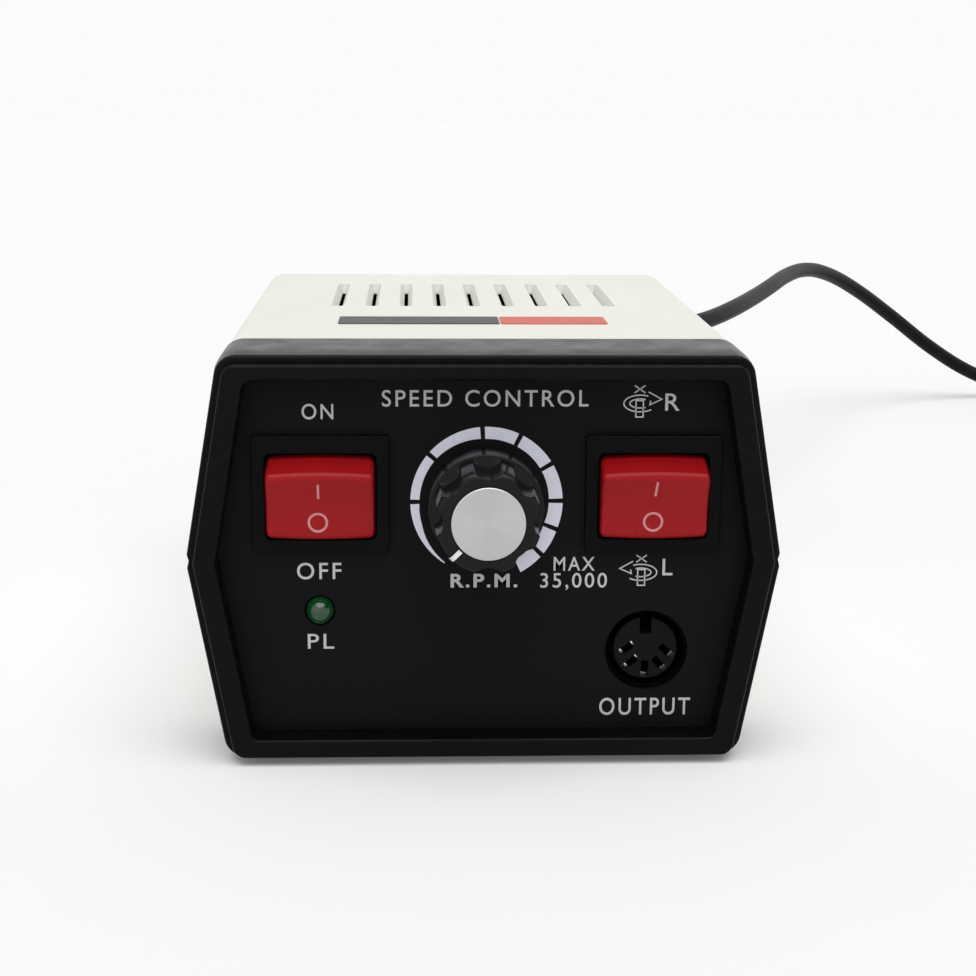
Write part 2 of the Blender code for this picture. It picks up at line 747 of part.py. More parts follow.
def make_front_panel():
    plate = prism([opening(PANEL_MARGIN)], RECESS_DEPTH, PANEL_BACK_Y, "Y")
    panel = part("front_panel", plate, "black_panel")
    for hole, _ in control_places():
        cut(panel, prism([hole], RECESS_DEPTH - OVERRUN, PANEL_BACK_Y + OVERRUN, "Y"))


def post_places():
    return [(side * POST_X, y) for y in (POST_FRONT_Y, POST_REAR_Y) for side in (-1, 1)]


def foot_places():
    return [(side * POST_X, y) for y in (FOOT_FRONT_Y, FOOT_REAR_Y) for side in (-1, 1)]


def half_shell(name, upper):
    """One half of the case, with the inward flange that holds the rear panel."""
    channel = half_section(COVER_INSET, COVER_INNER + REAR_FLANGE_REACH, upper)
    shell = part(name, prism([channel], COVER_FRONT_Y, CASE_DEPTH, "Y"), "cream_plastic")
    cut(shell, prism([section(COVER_INNER)], COVER_FRONT_Y - OVERRUN, CASE_DEPTH - REAR_FLANGE_DEPTH, "Y"))
    wall = (ROOF_Z, ROOF_Z + CASE_WALL / 2) if upper else (FLOOR_Z, FLOOR_Z - CASE_WALL / 2)
    reach = -STOP_HEIGHT if upper else STOP_HEIGHT
    rear = REAR_INSIDE_Y - CLEARANCE
    for side in (-1, 1):
        left, right = side * STOP_X - STOP_WIDTH / 2, side * STOP_X + STOP_WIDTH / 2
        bottom, top = sorted((wall[1], wall[0] + reach))
        join(shell, box((left, rear - CASE_WALL, bottom), (right, rear, top)))
    return shell


def make_top_cover():
    cover = half_shell("top_cover", True)
    bottom = PARTING_Z + CLEARANCE / 2
    for x, y in post_places():
        join(cover, rod(BOSS_RADIUS, (x, y, bottom), (x, y, ROOF_Z + CASE_WALL / 2)))
        depth = SCREW_SEAT_Z + SCREW_LENGTH + CLEARANCE
        cut(cover, rod(SCREW_RADIUS + CLEARANCE, (x, y, bottom - OVERRUN), (x, y, depth), COARSE))
    radius = SLOT_WIDTH / 2 * SLOT_ROUND_SHARE
    middle_y = (SLOT_FRONT_Y + SLOT_REAR_Y) / 2
    for i in range(SLOTS):
        x = (i - (SLOTS - 1) / 2) * SLOT_PITCH
        outline = rectangle((x, middle_y), SLOT_WIDTH, SLOT_REAR_Y - SLOT_FRONT_Y, radius)
        cut(cover, prism([outline], ROOF_Z - OVERRUN, TOP_Z + OVERRUN, "Z"))


def standoff_places():
    x = BOARD_HALF_X - BOARD_HOLE_INSET
    rows = (BOARD_FRONT_Y + BOARD_HOLE_INSET, BOARD_REAR_Y - BOARD_HOLE_INSET)
    return [(side * x, y) for y in rows for side in (-1, 1)]


def make_bottom_case():
    case = half_shell("bottom_case", False)
    root = FLOOR_Z - CASE_WALL / 2
    under = CASE_LIFT - OVERRUN
    for x, y in post_places():
        join(case, rod(POST_RADIUS, (x, y, root), (x, y, PARTING_Z - CLEARANCE / 2)))
        cut(
            case,
            rod(SCREW_HEAD_RADIUS + CLEARANCE, (x, y, under), (x, y, SCREW_SEAT_Z)),
            rod(SCREW_RADIUS + CLEARANCE, (x, y, under), (x, y, PARTING_Z + OVERRUN)),
        )
    for x, y in foot_places():
        cut(case, rod(FOOT_RADIUS + CLEARANCE, (x, y, under), (x, y, CASE_LIFT + FOOT_SEAT_DEPTH)))
    for x, y in standoff_places():
        join(case, rod(STANDOFF_RADIUS, (x, y, root), (x, y, BOARD_Z - CLEARANCE)))
        bottom = BOARD_Z - BOARD_SCREW_LENGTH
        hole = rod(SMALL_SCREW_RADIUS + CLEARANCE, (x, y, bottom), (x, y, BOARD_Z + OVERRUN), COARSE // 2)
        cut(case, hole)
    seat = CORE_Z - CLEARANCE
    join(case, box((-PAD_HALF_X, CORE_Y - PAD_HALF_Y, root), (PAD_HALF_X, CORE_Y + PAD_HALF_Y, seat)))
    for side in (-1, 1):
        x = side * STRAP_SCREW_X
        join(case, rod(STRAP_BOSS_RADIUS, (x, CORE_Y, root), (x, CORE_Y, seat)))
        ends = ((x, CORE_Y, FLOOR_Z), (x, CORE_Y, CORE_Z + OVERRUN))
        cut(case, rod(SMALL_SCREW_RADIUS + CLEARANCE, *ends, COARSE // 2))


def make_case_screws():
    for i, (x, y) in enumerate(post_places(), 1):
        seat = -CLEARANCE
        profile = (
            (0, SCREW_LENGTH),
            (SCREW_RADIUS, SCREW_LENGTH - SCREW_RADIUS),
            (SCREW_RADIUS, seat),
            (SCREW_HEAD_RADIUS, seat),
            (SCREW_HEAD_RADIUS, seat - SCREW_HEAD),
            (0, seat - SCREW_HEAD),
        )
        screw = part(f"case_screw_{i}", turned(profile, "Z", COARSE), "steel", (x, y, SCREW_SEAT_Z))
        bottom = seat - SCREW_HEAD
        arm = SCREW_HEAD_RADIUS * SCREW_RECESS_SHARE
        slim = arm / 3
        for half_x, half_y in ((arm, slim), (slim, arm)):
            recess = box((-half_x, -half_y, bottom - OVERRUN), (half_x, half_y, bottom + SCREW_HEAD / 2))
            cut(screw, recess, location=(x, y, SCREW_SEAT_Z))


def make_feet():
    top = CASE_LIFT + FOOT_SEAT_DEPTH - CLEARANCE
    profile = (
        (0, top),
        (FOOT_RADIUS, top),
        (FOOT_RADIUS, FOOT_ROUND),
        (FOOT_RADIUS - FOOT_ROUND, 0),
        (0, 0),
    )
    for i, (x, y) in enumerate(foot_places(), 1):
        part(f"rubber_foot_{i}", turned(profile, "Z", 24), "rubber", (x, y, 0))


def make_rear_panel():
    edge = COVER_INNER + CLEARANCE
    plate = prism([section(edge)], REAR_INSIDE_Y, REAR_PANEL_Y, "Y")
    panel = part("rear_panel", plate, "black_plastic")
    holes = (
        (FUSE_X, FUSE_Z, FUSE_TUBE_RADIUS),
        (JACK_X, JACK_Z, JACK_BUSH_RADIUS),
        (CORD_EXIT_X, CORD_EXIT_Z, RELIEF_NECK_RADIUS),
    )
    for x, z, radius in holes:
        outline = circle((x, z), radius + CLEARANCE, 24)
        cut(panel, prism([outline], REAR_INSIDE_Y - OVERRUN, REAR_PANEL_Y + OVERRUN, "Y"))


def make_switch(prefix, side, rows):
    """A rocker switch: the snap-in body with its flange and blades, and the rocker on its pivot."""
    place = (side * COLUMN_X + SWITCH_SHIFT, PIVOT_Y, SWITCH_Z)
    pivot = (place[0], PIVOT_Y, SWITCH_Z - SWITCH_MOUTH_DROP)
    front = SWITCH_FACE_Y - PIVOT_Y
    behind_flange = front + SWITCH_FLANGE
    rear = behind_flange + SWITCH_BODY_DEPTH
    width = SWITCH_FLANGE_WIDTH - 2 * SWITCH_BODY_INSET
    height = SWITCH_FLANGE_HEIGHT - 2 * SWITCH_BODY_INSET
    mouth_width = width - 2 * SWITCH_SIDE_WALL
    mouth_height = height - 2 * SWITCH_END_WALL
    outline = rectangle((0, 0), SWITCH_FLANGE_WIDTH, SWITCH_FLANGE_HEIGHT, CLEARANCE, 2)
    flange = bevel_front(prism([outline], front, behind_flange, "Y"), front, CLEARANCE, 2)
    body = part(prefix + "_switch_body", flange, "black_plastic", place)
    housing = box((-width / 2, front + SWITCH_FLANGE / 2, -height / 2), (width / 2, rear, height / 2))
    join(body, housing, location=place)
    for column in (-1, 1):
        for row in rows:
            x, z = column * BLADE_PITCH / 2, row * BLADE_PITCH
            blade = box(
                (x - BLADE_WIDTH / 2, rear - OVERRUN, z - BLADE_THICKNESS / 2),
                (x + BLADE_WIDTH / 2, rear + BLADE_LENGTH, z + BLADE_THICKNESS / 2),
            )
            join(body, blade, location=place)
    mouth = rectangle((0, 0), mouth_width, mouth_height, ROCKER_ROUND, 2)
    pin_hole = PIVOT_PIN + CLEARANCE
    cut(
        body,
        prism([mouth], front - OVERRUN, rear - SWITCH_FLOOR, "Y"),
        rod(pin_hole, (-width / 2 - OVERRUN, 0, 0), (width / 2 + OVERRUN, 0, 0)),
        location=pivot,
    )
    half = mouth_width / 2 - ROCKER_SIDE_GAP
    shares = [1 - 2 * step / ROCKER_DISH_STEPS for step in range(ROCKER_DISH_STEPS + 1)]
    dish = [(share * ROCKER_HALF_FACE, ROCKER_RISE - ROCKER_DISH * (1 - share * share)) for share in shares]
    neutral = (
        *dish,
        (-ROCKER_HALF_BASE, 0),
        (-ROCKER_SHOULDER_HALF, -ROCKER_SHOULDER),
        (-ROCKER_KEEL_HALF, -ROCKER_KEEL),
        (ROCKER_KEEL_HALF, -ROCKER_KEEL),
        (ROCKER_SHOULDER_HALF, -ROCKER_SHOULDER),
        (ROCKER_HALF_BASE, 0),
    )
    cosine, sine = math.cos(ROCKER_TILT), math.sin(ROCKER_TILT)
    tilted = [(-(out * cosine + up * sine), up * cosine - out * sine) for up, out in neutral]
    rocker = part(prefix + "_rocker", prism([tilted], -half, half, "X"), "red_rocker", pivot)
    soften(rocker, ROCKER_ROUND)
    pin_end = width / 2 - CLEARANCE
    join(rocker, rod(PIVOT_PIN, (-pin_end, 0, 0), (pin_end, 0, 0), 16), location=pivot)


def make_speed_dial():
    """The potentiometer behind the wall, its nut and washer, and the knob with cap on its shaft."""
    place = (0, RECESS_DEPTH, DIAL_Z)
    total = RECESS_DEPTH + KNOB_REACH
    skirt_top = KNOB_GAP + KNOB_SKIRT_HEIGHT
    seat = total - CAP_THICKNESS - CLEARANCE
    hollow = WASHER_THICKNESS + NUT_THICKNESS + 3 * CLEARANCE + KNOB_GAP
    bore = SHAFT_RADIUS + CLEARANCE / 3
    rim = CAP_RADIUS + CLEARANCE
    face = total - CLEARANCE
    turns = [math.pi / 4 * step for step in range(3)]
    edge = [
        (KNOB_TOP_RADIUS - KNOB_ROUND * (1 - math.sin(turn)), face - KNOB_ROUND * (1 - math.cos(turn)))
        for turn in turns
    ]
    profile = (
        (rim, seat),
        (rim, face),
        *edge,
        (KNOB_FOOT_RADIUS, skirt_top),
        (KNOB_SKIRT_RADIUS - KNOB_SKIRT_ROUND, skirt_top),
        (KNOB_SKIRT_RADIUS, skirt_top - KNOB_SKIRT_ROUND),
        (KNOB_SKIRT_RADIUS, KNOB_GAP),
        (KNOB_HOLLOW_RADIUS, KNOB_GAP),
        (KNOB_HOLLOW_RADIUS, hollow + KNOB_GAP),
        (bore, hollow + KNOB_GAP),
        (bore, hollow + KNOB_GAP + SHAFT_IN_KNOB),
        (0, hollow + KNOB_GAP + SHAFT_IN_KNOB),
    )
    knob = part("speed_knob", turned(((0, seat), *profile), "Y", 40), "black_plastic", place)
    reach = KNOB_FOOT_RADIUS + FLUTE_RADIUS - FLUTE_DEPTH
    lean = KNOB_FOOT_RADIUS - KNOB_TOP_RADIUS
    # A flute at each step round the grip but the one at the pointer
    for i in range(1, FLUTES):
        angle = math.tau * i / FLUTES + POINTER_ANGLE
        near = (reach * math.cos(angle), -skirt_top - CLEARANCE, reach * math.sin(angle))
        far_reach = reach - lean
        far = (far_reach * math.cos(angle), -total - OVERRUN, far_reach * math.sin(angle))
        cut(knob, rod(FLUTE_RADIUS, near, far), location=place)
    groove = box(
        (rim / 2, -total - OVERRUN, -POINTER_WIDTH / 2),
        (KNOB_FOOT_RADIUS + OVERRUN, POINTER_DEPTH - face, POINTER_WIDTH / 2),
    )
    groove.transform(Matrix.Rotation(-POINTER_ANGLE, 4, "Y"))
    cut(knob, groove, location=place)
    cap = (
        (0, total),
        (CAP_RADIUS - CAP_CHAMFER, total),
        (CAP_RADIUS, total - CAP_CHAMFER),
        (CAP_RADIUS, total - CAP_THICKNESS),
        (0, total - CAP_THICKNESS),
    )
    part("knob_cap", turned(cap, "Y", 40), "brushed_aluminium", place)
    pot_front = RECESS_DEPTH - BEHIND_Y
    pot_rear = pot_front - POT_DEPTH
    shaft_top = hollow + KNOB_GAP + SHAFT_IN_KNOB - CLEARANCE
    shaft_end = pot_rear + POT_DEPTH / 3
    shaft = rod(SHAFT_RADIUS, (0, -shaft_top, 0), (0, -shaft_end, 0), 24)
    part("pot_shaft", shaft, "brushed_aluminium", place)
    bush_bore = SHAFT_RADIUS + CLEARANCE / 3
    body = (
        (0, shaft_end - CLEARANCE),
        (bush_bore, shaft_end - CLEARANCE),
        (bush_bore, BUSH_LENGTH),
        (BUSH_RADIUS, BUSH_LENGTH),
        (BUSH_RADIUS, pot_front),
        (POT_RADIUS, pot_front),
        (POT_RADIUS, pot_rear),
        (0, pot_rear),
    )
    pot = part("potentiometer", turned(body, "Y", 32), "steel", place)
    for i in (-1, 0, 1):
        x = i * POT_LUG_PITCH
        lug = box(
            (x - POT_LUG_WIDTH / 2, -pot_front + POT_DEPTH / 4, -POT_RADIUS - POT_LUG_LENGTH),
            (x + POT_LUG_WIDTH / 2, -pot_front + POT_DEPTH / 4 + POT_LUG_THICKNESS, -POT_RADIUS / 2),
        )
        join(pot, lug, location=place)
    ring_bore = BUSH_RADIUS + CLEARANCE / 3
    bore = circle((0, 0), ring_bore)
    nut_low = WASHER_THICKNESS + 2 * CLEARANCE
    rings = (
        ("dial_washer", circle((0, 0), WASHER_RADIUS), CLEARANCE, WASHER_THICKNESS),
        ("dial_nut", circle((0, 0), NUT_RADIUS, 6), nut_low, NUT_THICKNESS),
    )
    for name, outline, low, thickness in rings:
        part(name, prism([outline, bore], -low - thickness, -low, "Y"), "steel", place)


def make_pilot_lamp():
    place = (-COLUMN_X, RECESS_DEPTH, LAMP_Z)
    flange_top = RECESS_DEPTH - BACKING_REAR_Y + LAMP_FLANGE
    dome = LAMP_REACH - LAMP_RADIUS
    arc = [
        (LAMP_RADIUS * math.sin(angle), dome + LAMP_RADIUS * math.cos(angle))
        for angle in (math.pi / 2 * step / 6 for step in range(7))
    ]
    profile = (
        *arc,
        (LAMP_RADIUS, flange_top),
        (LAMP_FLANGE_RADIUS, flange_top),
        (LAMP_FLANGE_RADIUS, flange_top - LAMP_FLANGE),
        (0, flange_top - LAMP_FLANGE),
    )
    lamp = part("pilot_lens", turned(profile, "Y", 24), "green_lens", place)
    base = -(flange_top - LAMP_FLANGE)
    for side in (-1, 1):
        x = side * LAMP_LEG_PITCH / 2
        leg = box(
            (x - LAMP_LEG / 2, base - LAMP_FLANGE / 2, -LAMP_LEG / 2),
            (x + LAMP_LEG / 2, base + LAMP_LEG_LENGTH, LAMP_LEG / 2),
        )
        join(lamp, leg, location=place)
    near = BEHIND_Y - RECESS_DEPTH
    clip = [
        circle((0, 0), LAMP_CLIP_RADIUS, 24),
        circle((0, 0), LAMP_LEG_PITCH / 2 + LAMP_LEG + CLEARANCE, 24),
    ]
    part("lamp_clip", prism(clip, near, near + LAMP_CLIP_DEPTH, "Y"), "black_plastic", place)


def make_output_socket():
    place = (COLUMN_X, BACKING_FRONT_Y, SOCKET_Z)
    outer = SOCKET_BORE_RADIUS + SOCKET_SHELL_WALL
    flange_near = -(BEHIND_Y - BACKING_FRONT_Y)
    base_near = CLEARANCE + INSERT_BASE - SOCKET_LENGTH
    shell = (
        (SOCKET_BORE_RADIUS, 0),
        (outer, 0),
        (outer, flange_near),
        (SOCKET_FLANGE_RADIUS, flange_near),
        (SOCKET_FLANGE_RADIUS, flange_near - SOCKET_FLANGE),
        (outer, flange_near - SOCKET_FLANGE),
        (outer, -SOCKET_LENGTH),
        (SOCKET_BORE_RADIUS, -SOCKET_LENGTH),
        (SOCKET_BORE_RADIUS, 0),
    )
    part("output_socket_shell", turned(shell, "Y", 32), "steel", place)
    wide = SOCKET_BORE_RADIUS - CLEARANCE
    insert = (
        (0, 0),
        (INSERT_RADIUS - CLEARANCE, 0),
        (INSERT_RADIUS, -CLEARANCE),
        (INSERT_RADIUS, base_near),
        (wide, base_near),
        (wide, base_near - INSERT_BASE),
        (0, base_near - INSERT_BASE),
    )
    body = part("output_socket_insert", turned(insert, "Y", 32), "grey_insulator", place)
    deep = SOCKET_LENGTH - 2 * INSERT_BASE
    key_low, key_high = INSERT_RADIUS - KEY_DEPTH, INSERT_RADIUS + OVERRUN
    key = box((-KEY_WIDTH / 2, -OVERRUN, key_low), (KEY_WIDTH / 2, deep, key_high))
    cut(body, key, location=place)
    for i, (angle, turn) in enumerate(zip(CONTACT_ANGLES, CONTACT_TURNS), 1):
        x = CONTACT_CIRCLE * math.cos(math.radians(angle))
        z = CONTACT_CIRCLE * math.sin(math.radians(angle))
        half_x, half_z = CONTACT_SLOT_LENGTH / 2, CONTACT_SLOT_WIDTH / 2
        slot = box((-half_x, -OVERRUN, -half_z), (half_x, SOCKET_LENGTH + OVERRUN, half_z))
        blade = box(
            (-CONTACT_WIDTH / 2, CONTACT_RECESS, -CONTACT_THICKNESS / 2),
            (CONTACT_WIDTH / 2, SOCKET_LENGTH + CONTACT_TAIL, CONTACT_THICKNESS / 2),
        )
        for mesh in (slot, blade):
            mesh.transform(Matrix.Translation((x, 0, z)) @ Matrix.Rotation(-math.radians(turn), 4, "Y"))
        cut(body, slot, location=place)
        part(f"output_contact_{i}", blade, "brass", place)


def make_transformer():
    half_x = CORE_LIMB * 3
    low_y, high_y = CORE_Y - CORE_THICKNESS / 2, CORE_Y + CORE_THICKNESS / 2
    top = CORE_Z + CORE_HEIGHT
    core = part("transformer_core", box((-half_x, low_y, CORE_Z), (half_x, high_y, top)), "core_iron")
    for side in (-1, 1):
        x = sorted((side * CORE_LIMB, side * CORE_LIMB * 2))
        window = box((x[0], low_y - OVERRUN, CORE_Z + CORE_LIMB), (x[1], high_y + OVERRUN, top - CORE_LIMB))
        cut(core, window)
    outer_x = CORE_LIMB * 2 - CLEARANCE
    inner_x = CORE_LIMB + CLEARANCE
    inner_y = CORE_THICKNESS / 2 + CLEARANCE
    outer_y = inner_y + WINDING_THICKNESS
    ring = [
        rectangle((0, CORE_Y), 2 * outer_x, 2 * outer_y, WINDING_THICKNESS / 2),
        rectangle((0, CORE_Y), 2 * inner_x, 2 * inner_y),
    ]
    low, high = CORE_Z + CORE_LIMB + CLEARANCE, top - CORE_LIMB - CLEARANCE
    part("transformer_winding", prism(ring, low, high, "Z"), "winding_tape")
    near = half_x + CLEARANCE
    far = STRAP_X
    foot = far + STRAP_FOOT
    over = top + CLEARANCE
    strap = (
        (foot, CORE_Z),
        (foot, CORE_Z + STRAP_THICKNESS),
        (far, CORE_Z + STRAP_THICKNESS),
        (far, over + STRAP_THICKNESS),
        (-far, over + STRAP_THICKNESS),
        (-far, CORE_Z + STRAP_THICKNESS),
        (-foot, CORE_Z + STRAP_THICKNESS),
        (-foot, CORE_Z),
        (-near, CORE_Z),
        (-near, over),
        (near, over),
        (near, CORE_Z),
    )
    bracket = part("transformer_bracket", prism([strap], low_y, high_y, "Y"), "steel")
    for i, side in enumerate((-1, 1), 1):
        x = side * STRAP_SCREW_X
        seat = CORE_Z + STRAP_THICKNESS
        ends = ((x, CORE_Y, CORE_Z - OVERRUN), (x, CORE_Y, seat + OVERRUN))
        cut(bracket, rod(SMALL_SCREW_RADIUS + CLEARANCE, *ends))
        length = seat - FLOOR_Z - CLEARANCE
        part(f"bracket_screw_{i}", small_screw(length), "steel", (x, CORE_Y, seat))


def small_screw(length):
    """A round-headed screw whose seat is at zero, its shank hanging down."""
    top = CLEARANCE + SMALL_SCREW_HEAD
    return turned(
        (
            (0, top),
            (SMALL_SCREW_HEAD_RADIUS * SMALL_SCREW_CROWN_SHARE, top),
            (SMALL_SCREW_HEAD_RADIUS, CLEARANCE + SMALL_SCREW_HEAD / 2),
            (SMALL_SCREW_HEAD_RADIUS, CLEARANCE),
            (SMALL_SCREW_RADIUS, CLEARANCE),
            (SMALL_SCREW_RADIUS, -length),
            (0, -length),
        ),
        "Z",
        16,
    )


def make_circuit_board():
    top = BOARD_Z + BOARD_THICKNESS
    board = part(
        "circuit_board",
        box((-BOARD_HALF_X, BOARD_FRONT_Y, BOARD_Z), (BOARD_HALF_X, BOARD_REAR_Y, top)),
        "board_green",
    )
    for i, (x, y) in enumerate(standoff_places(), 1):
        cut(board, rod(SMALL_SCREW_RADIUS + CLEARANCE, (x, y, BOARD_Z - OVERRUN), (x, y, top + OVERRUN), 16))
        length = BOARD_THICKNESS + BOARD_SCREW_LENGTH - 2 * CLEARANCE
        part(f"board_screw_{i}", small_screw(length), "steel", (x, y, top))
    seat = top + CLEARANCE
    can_top = seat + CAPACITOR_HEIGHT
    rim = CAPACITOR_RADIUS / 16
    can = (
        (0, can_top - rim),
        (CAPACITOR_RADIUS - 2 * rim, can_top - rim),
        (CAPACITOR_RADIUS - 2 * rim, can_top),
        (CAPACITOR_RADIUS - rim, can_top),
        (CAPACITOR_RADIUS, can_top - rim),
        (CAPACITOR_RADIUS, seat),
        (0, seat),
    )
    part("capacitor", turned(can, "Z", 24), "capacitor_sleeve", (CAPACITOR_X, CAPACITOR_Y, 0))
    rectifier = box(
        (RECTIFIER_X - RECTIFIER_WIDTH / 2, RECTIFIER_Y - RECTIFIER_DEPTH / 2, seat),
        (RECTIFIER_X + RECTIFIER_WIDTH / 2, RECTIFIER_Y + RECTIFIER_DEPTH / 2, seat + RECTIFIER_HEIGHT),
    )
    part("rectifier", rectifier, "black_plastic")
    step = (SINK_WIDTH - SINK_FIN) / (SINK_FINS - 1)
    comb = [(SINK_LEFT_X, SINK_Y), (SINK_LEFT_X + SINK_WIDTH, SINK_Y)]
    for i in reversed(range(SINK_FINS)):
        x = SINK_LEFT_X + i * step
        comb += [(x + SINK_FIN, SINK_Y + SINK_DEPTH), (x, SINK_Y + SINK_DEPTH)]
        if i:
            comb += [(x, SINK_Y + SINK_BASE), (x - step + SINK_FIN, SINK_Y + SINK_BASE)]
    part("heat_sink", prism([comb], seat, seat + SINK_HEIGHT, "Z"), "brushed_aluminium")
    near = SINK_Y - CLEARANCE
    package = box(
        (SINK_X - TRANSISTOR_WIDTH / 2, near - TRANSISTOR_THICKNESS, seat),
        (SINK_X + TRANSISTOR_WIDTH / 2, near, seat + TRANSISTOR_HEIGHT),
    )
    transistor = part("power_transistor", package, "black_plastic")
    step_low = seat + TRANSISTOR_HEIGHT * TRANSISTOR_BODY_SHARE
    notch = box(
        (SINK_X - TRANSISTOR_WIDTH, near - 2 * TRANSISTOR_THICKNESS, step_low),
        (SINK_X + TRANSISTOR_WIDTH, near - TRANSISTOR_THICKNESS / 3, seat + TRANSISTOR_HEIGHT + OVERRUN),
    )
    cut(transistor, notch)


def make_fuse():
    """The fuse holder through the rear panel, its nut inside, and the cap that carries the fuse."""
    place = (FUSE_X, REAR_PANEL_Y, FUSE_Z)
    inner = -FUSE_INSIDE
    mouth = CLEARANCE + FUSE_FLANGE
    holder = (
        (FUSE_TUBE_RADIUS, inner),
        (FUSE_TUBE_RADIUS, CLEARANCE),
        (FUSE_FLANGE_RADIUS, CLEARANCE),
        (FUSE_FLANGE_RADIUS, mouth - CLEARANCE),
        (FUSE_FLANGE_RADIUS - CLEARANCE, mouth),
        (FUSE_BORE_RADIUS, mouth),
        (FUSE_BORE_RADIUS, inner + FUSE_FLOOR),
        (0, inner + FUSE_FLOOR),
    )
    part("fuse_holder", turned_to_back(((0, inner), *holder)), "black_plastic", place)
    nut_rear = -REAR_PANEL_THICKNESS - CLEARANCE
    outlines = [circle((0, 0), FUSE_NUT_RADIUS, 6), circle((0, 0), FUSE_TUBE_RADIUS + CLEARANCE / 3, 24)]
    part("fuse_nut", prism(outlines, nut_rear - FUSE_NUT, nut_rear, "Y"), "black_plastic", place)
    seat = mouth + CLEARANCE
    end = seat + FUSE_CAP_HEIGHT
    stem = FUSE_BORE_RADIUS - CLEARANCE
    cap = (
        (0, seat - FUSE_CAP_STEM),
        (stem, seat - FUSE_CAP_STEM),
        (stem, seat),
        (FUSE_CAP_RADIUS, seat),
        (FUSE_CAP_RADIUS, end - FUSE_CAP_ROUND),
        (FUSE_CAP_RADIUS - FUSE_CAP_ROUND, end),
        (0, end),
    )
    piece = part("fuse_cap", turned_to_back(cap), "black_plastic", place)
    slot = box(
        (-FUSE_CAP_RADIUS - OVERRUN, end - FUSE_CAP_HEIGHT / 3, -FUSE_CAP_SLOT / 2),
        (FUSE_CAP_RADIUS + OVERRUN, end + OVERRUN, FUSE_CAP_SLOT / 2),
    )
    cut(piece, slot, location=place)
    fuse_end = seat - FUSE_CAP_STEM - CLEARANCE
    link = rod(FUSE_RADIUS, (0, fuse_end - FUSE_LENGTH, 0), (0, fuse_end, 0), 16)
    part("fuse_link", link, "fuse_glass", place)


def turned_to_back(profile):
    """A turned piece whose heights count towards the back, given from the inside out."""
    return turned([(radius, -height) for radius, height in profile], "Y", 24)


def make_foot_jack():
    place = (JACK_X, REAR_PANEL_Y, JACK_Z)
    inner = -JACK_INSIDE
    panel_inside = -REAR_PANEL_THICKNESS - CLEARANCE
    jack = (
        (JACK_RADIUS, inner),
        (JACK_RADIUS, panel_inside),
        (JACK_BUSH_RADIUS, panel_inside),
        (JACK_BUSH_RADIUS, JACK_REACH),
        (JACK_BORE_RADIUS, JACK_REACH),
        (JACK_BORE_RADIUS, inner + JACK_FLOOR),
        (0, inner + JACK_FLOOR),
    )
    part("foot_jack", turned_to_back(((0, inner), *jack)), "black_plastic", place)
    outlines = [circle((0, 0), JACK_NUT_RADIUS, 6), circle((0, 0), JACK_BUSH_RADIUS + CLEARANCE / 3, 24)]
    part("foot_jack_nut", prism(outlines, CLEARANCE, CLEARANCE + JACK_NUT, "Y"), "steel", place)


def make_strain_relief():
    """The moulded relief in the rear panel, tapering to the lead, with ribs that let it bend."""
    place = (CORD_EXIT_X, REAR_PANEL_Y, CORD_EXIT_Z)
    inside = -REAR_PANEL_THICKNESS - CLEARANCE
    profile = [
        (0, inside - RELIEF_HEAD),
        (RELIEF_HEAD_RADIUS, inside - RELIEF_HEAD),
        (RELIEF_HEAD_RADIUS, inside),
        (RELIEF_NECK_RADIUS, inside),
        (RELIEF_NECK_RADIUS, CLEARANCE),
        (RELIEF_HEAD_RADIUS, CLEARANCE),
        (RELIEF_HEAD_RADIUS, CLEARANCE + RELIEF_HEAD),
    ]
    start = CLEARANCE + RELIEF_HEAD
    length = RELIEF_LENGTH - start
    steps = ((RIB_START_SHARE, 0), (RIB_END_SHARE, 0), (RIB_END_SHARE, 1), (GROOVE_END_SHARE, 1))
    for i in range(RELIEF_RIBS):
        for along, sunk in steps:
            share = (i + along) / (RELIEF_RIBS + RIB_TAIL_SHARE)
            radius = RELIEF_RADIUS + (RELIEF_TIP_RADIUS - RELIEF_RADIUS) * share
            profile.append((radius - sunk * RELIEF_GROOVE, start + length * share))
    profile += [
        (RELIEF_TIP_RADIUS, start + length * RELIEF_TIP_SHARE),
        (RELIEF_TIP_RADIUS, RELIEF_LENGTH),
        (0, RELIEF_LENGTH),
    ]
    part("strain_relief", turned([(radius, -height) for radius, height in profile], "Y", 16), "rubber", place)


def spline_points(route, count):
    """Points at even steps along the smooth curve through the route."""
    route = [Vector(place) for place in route]
    ends = [2 * route[0] - route[1], *route, 2 * route[-1] - route[-2]]
    fine = []
    for i in range(len(ends) - 3):
        a, b, c, d = ends[i : i + 4]
        for step in range(SPLINE_STEPS):
            t = step / SPLINE_STEPS
            curve = 2 * b + (c - a) * t + (2 * a - 5 * b + 4 * c - d) * t * t + (3 * b - a - 3 * c + d) * t**3
            fine.append(curve / 2)
    fine.append(ends[-2])
    lengths = [0]
    for first, second in zip(fine, fine[1:]):
        lengths.append(lengths[-1] + (second - first).length)
    points, j = [], 0
    for i in range(count):
        goal = lengths[-1] * i / (count - 1)
        while j < len(lengths) - 2 and lengths[j + 1] < goal:
            j += 1
        share = (goal - lengths[j]) / (lengths[j + 1] - lengths[j])
        points.append(fine[j].lerp(fine[j + 1], min(share, 1)))
    return points


def tube(points, radius, resolution):
    curve = bpy.data.curves.new("tube", "CURVE")
    curve.dimensions = "3D"
    curve.bevel_depth = radius
    curve.bevel_resolution = resolution
    curve.use_fill_caps = True
    spline = curve.splines.new("POLY")
    spline.points.add(len(points) - 1)
    for point, place in zip(spline.points, points):
        point.co = (*place, 1)
    return from_curve(curve)


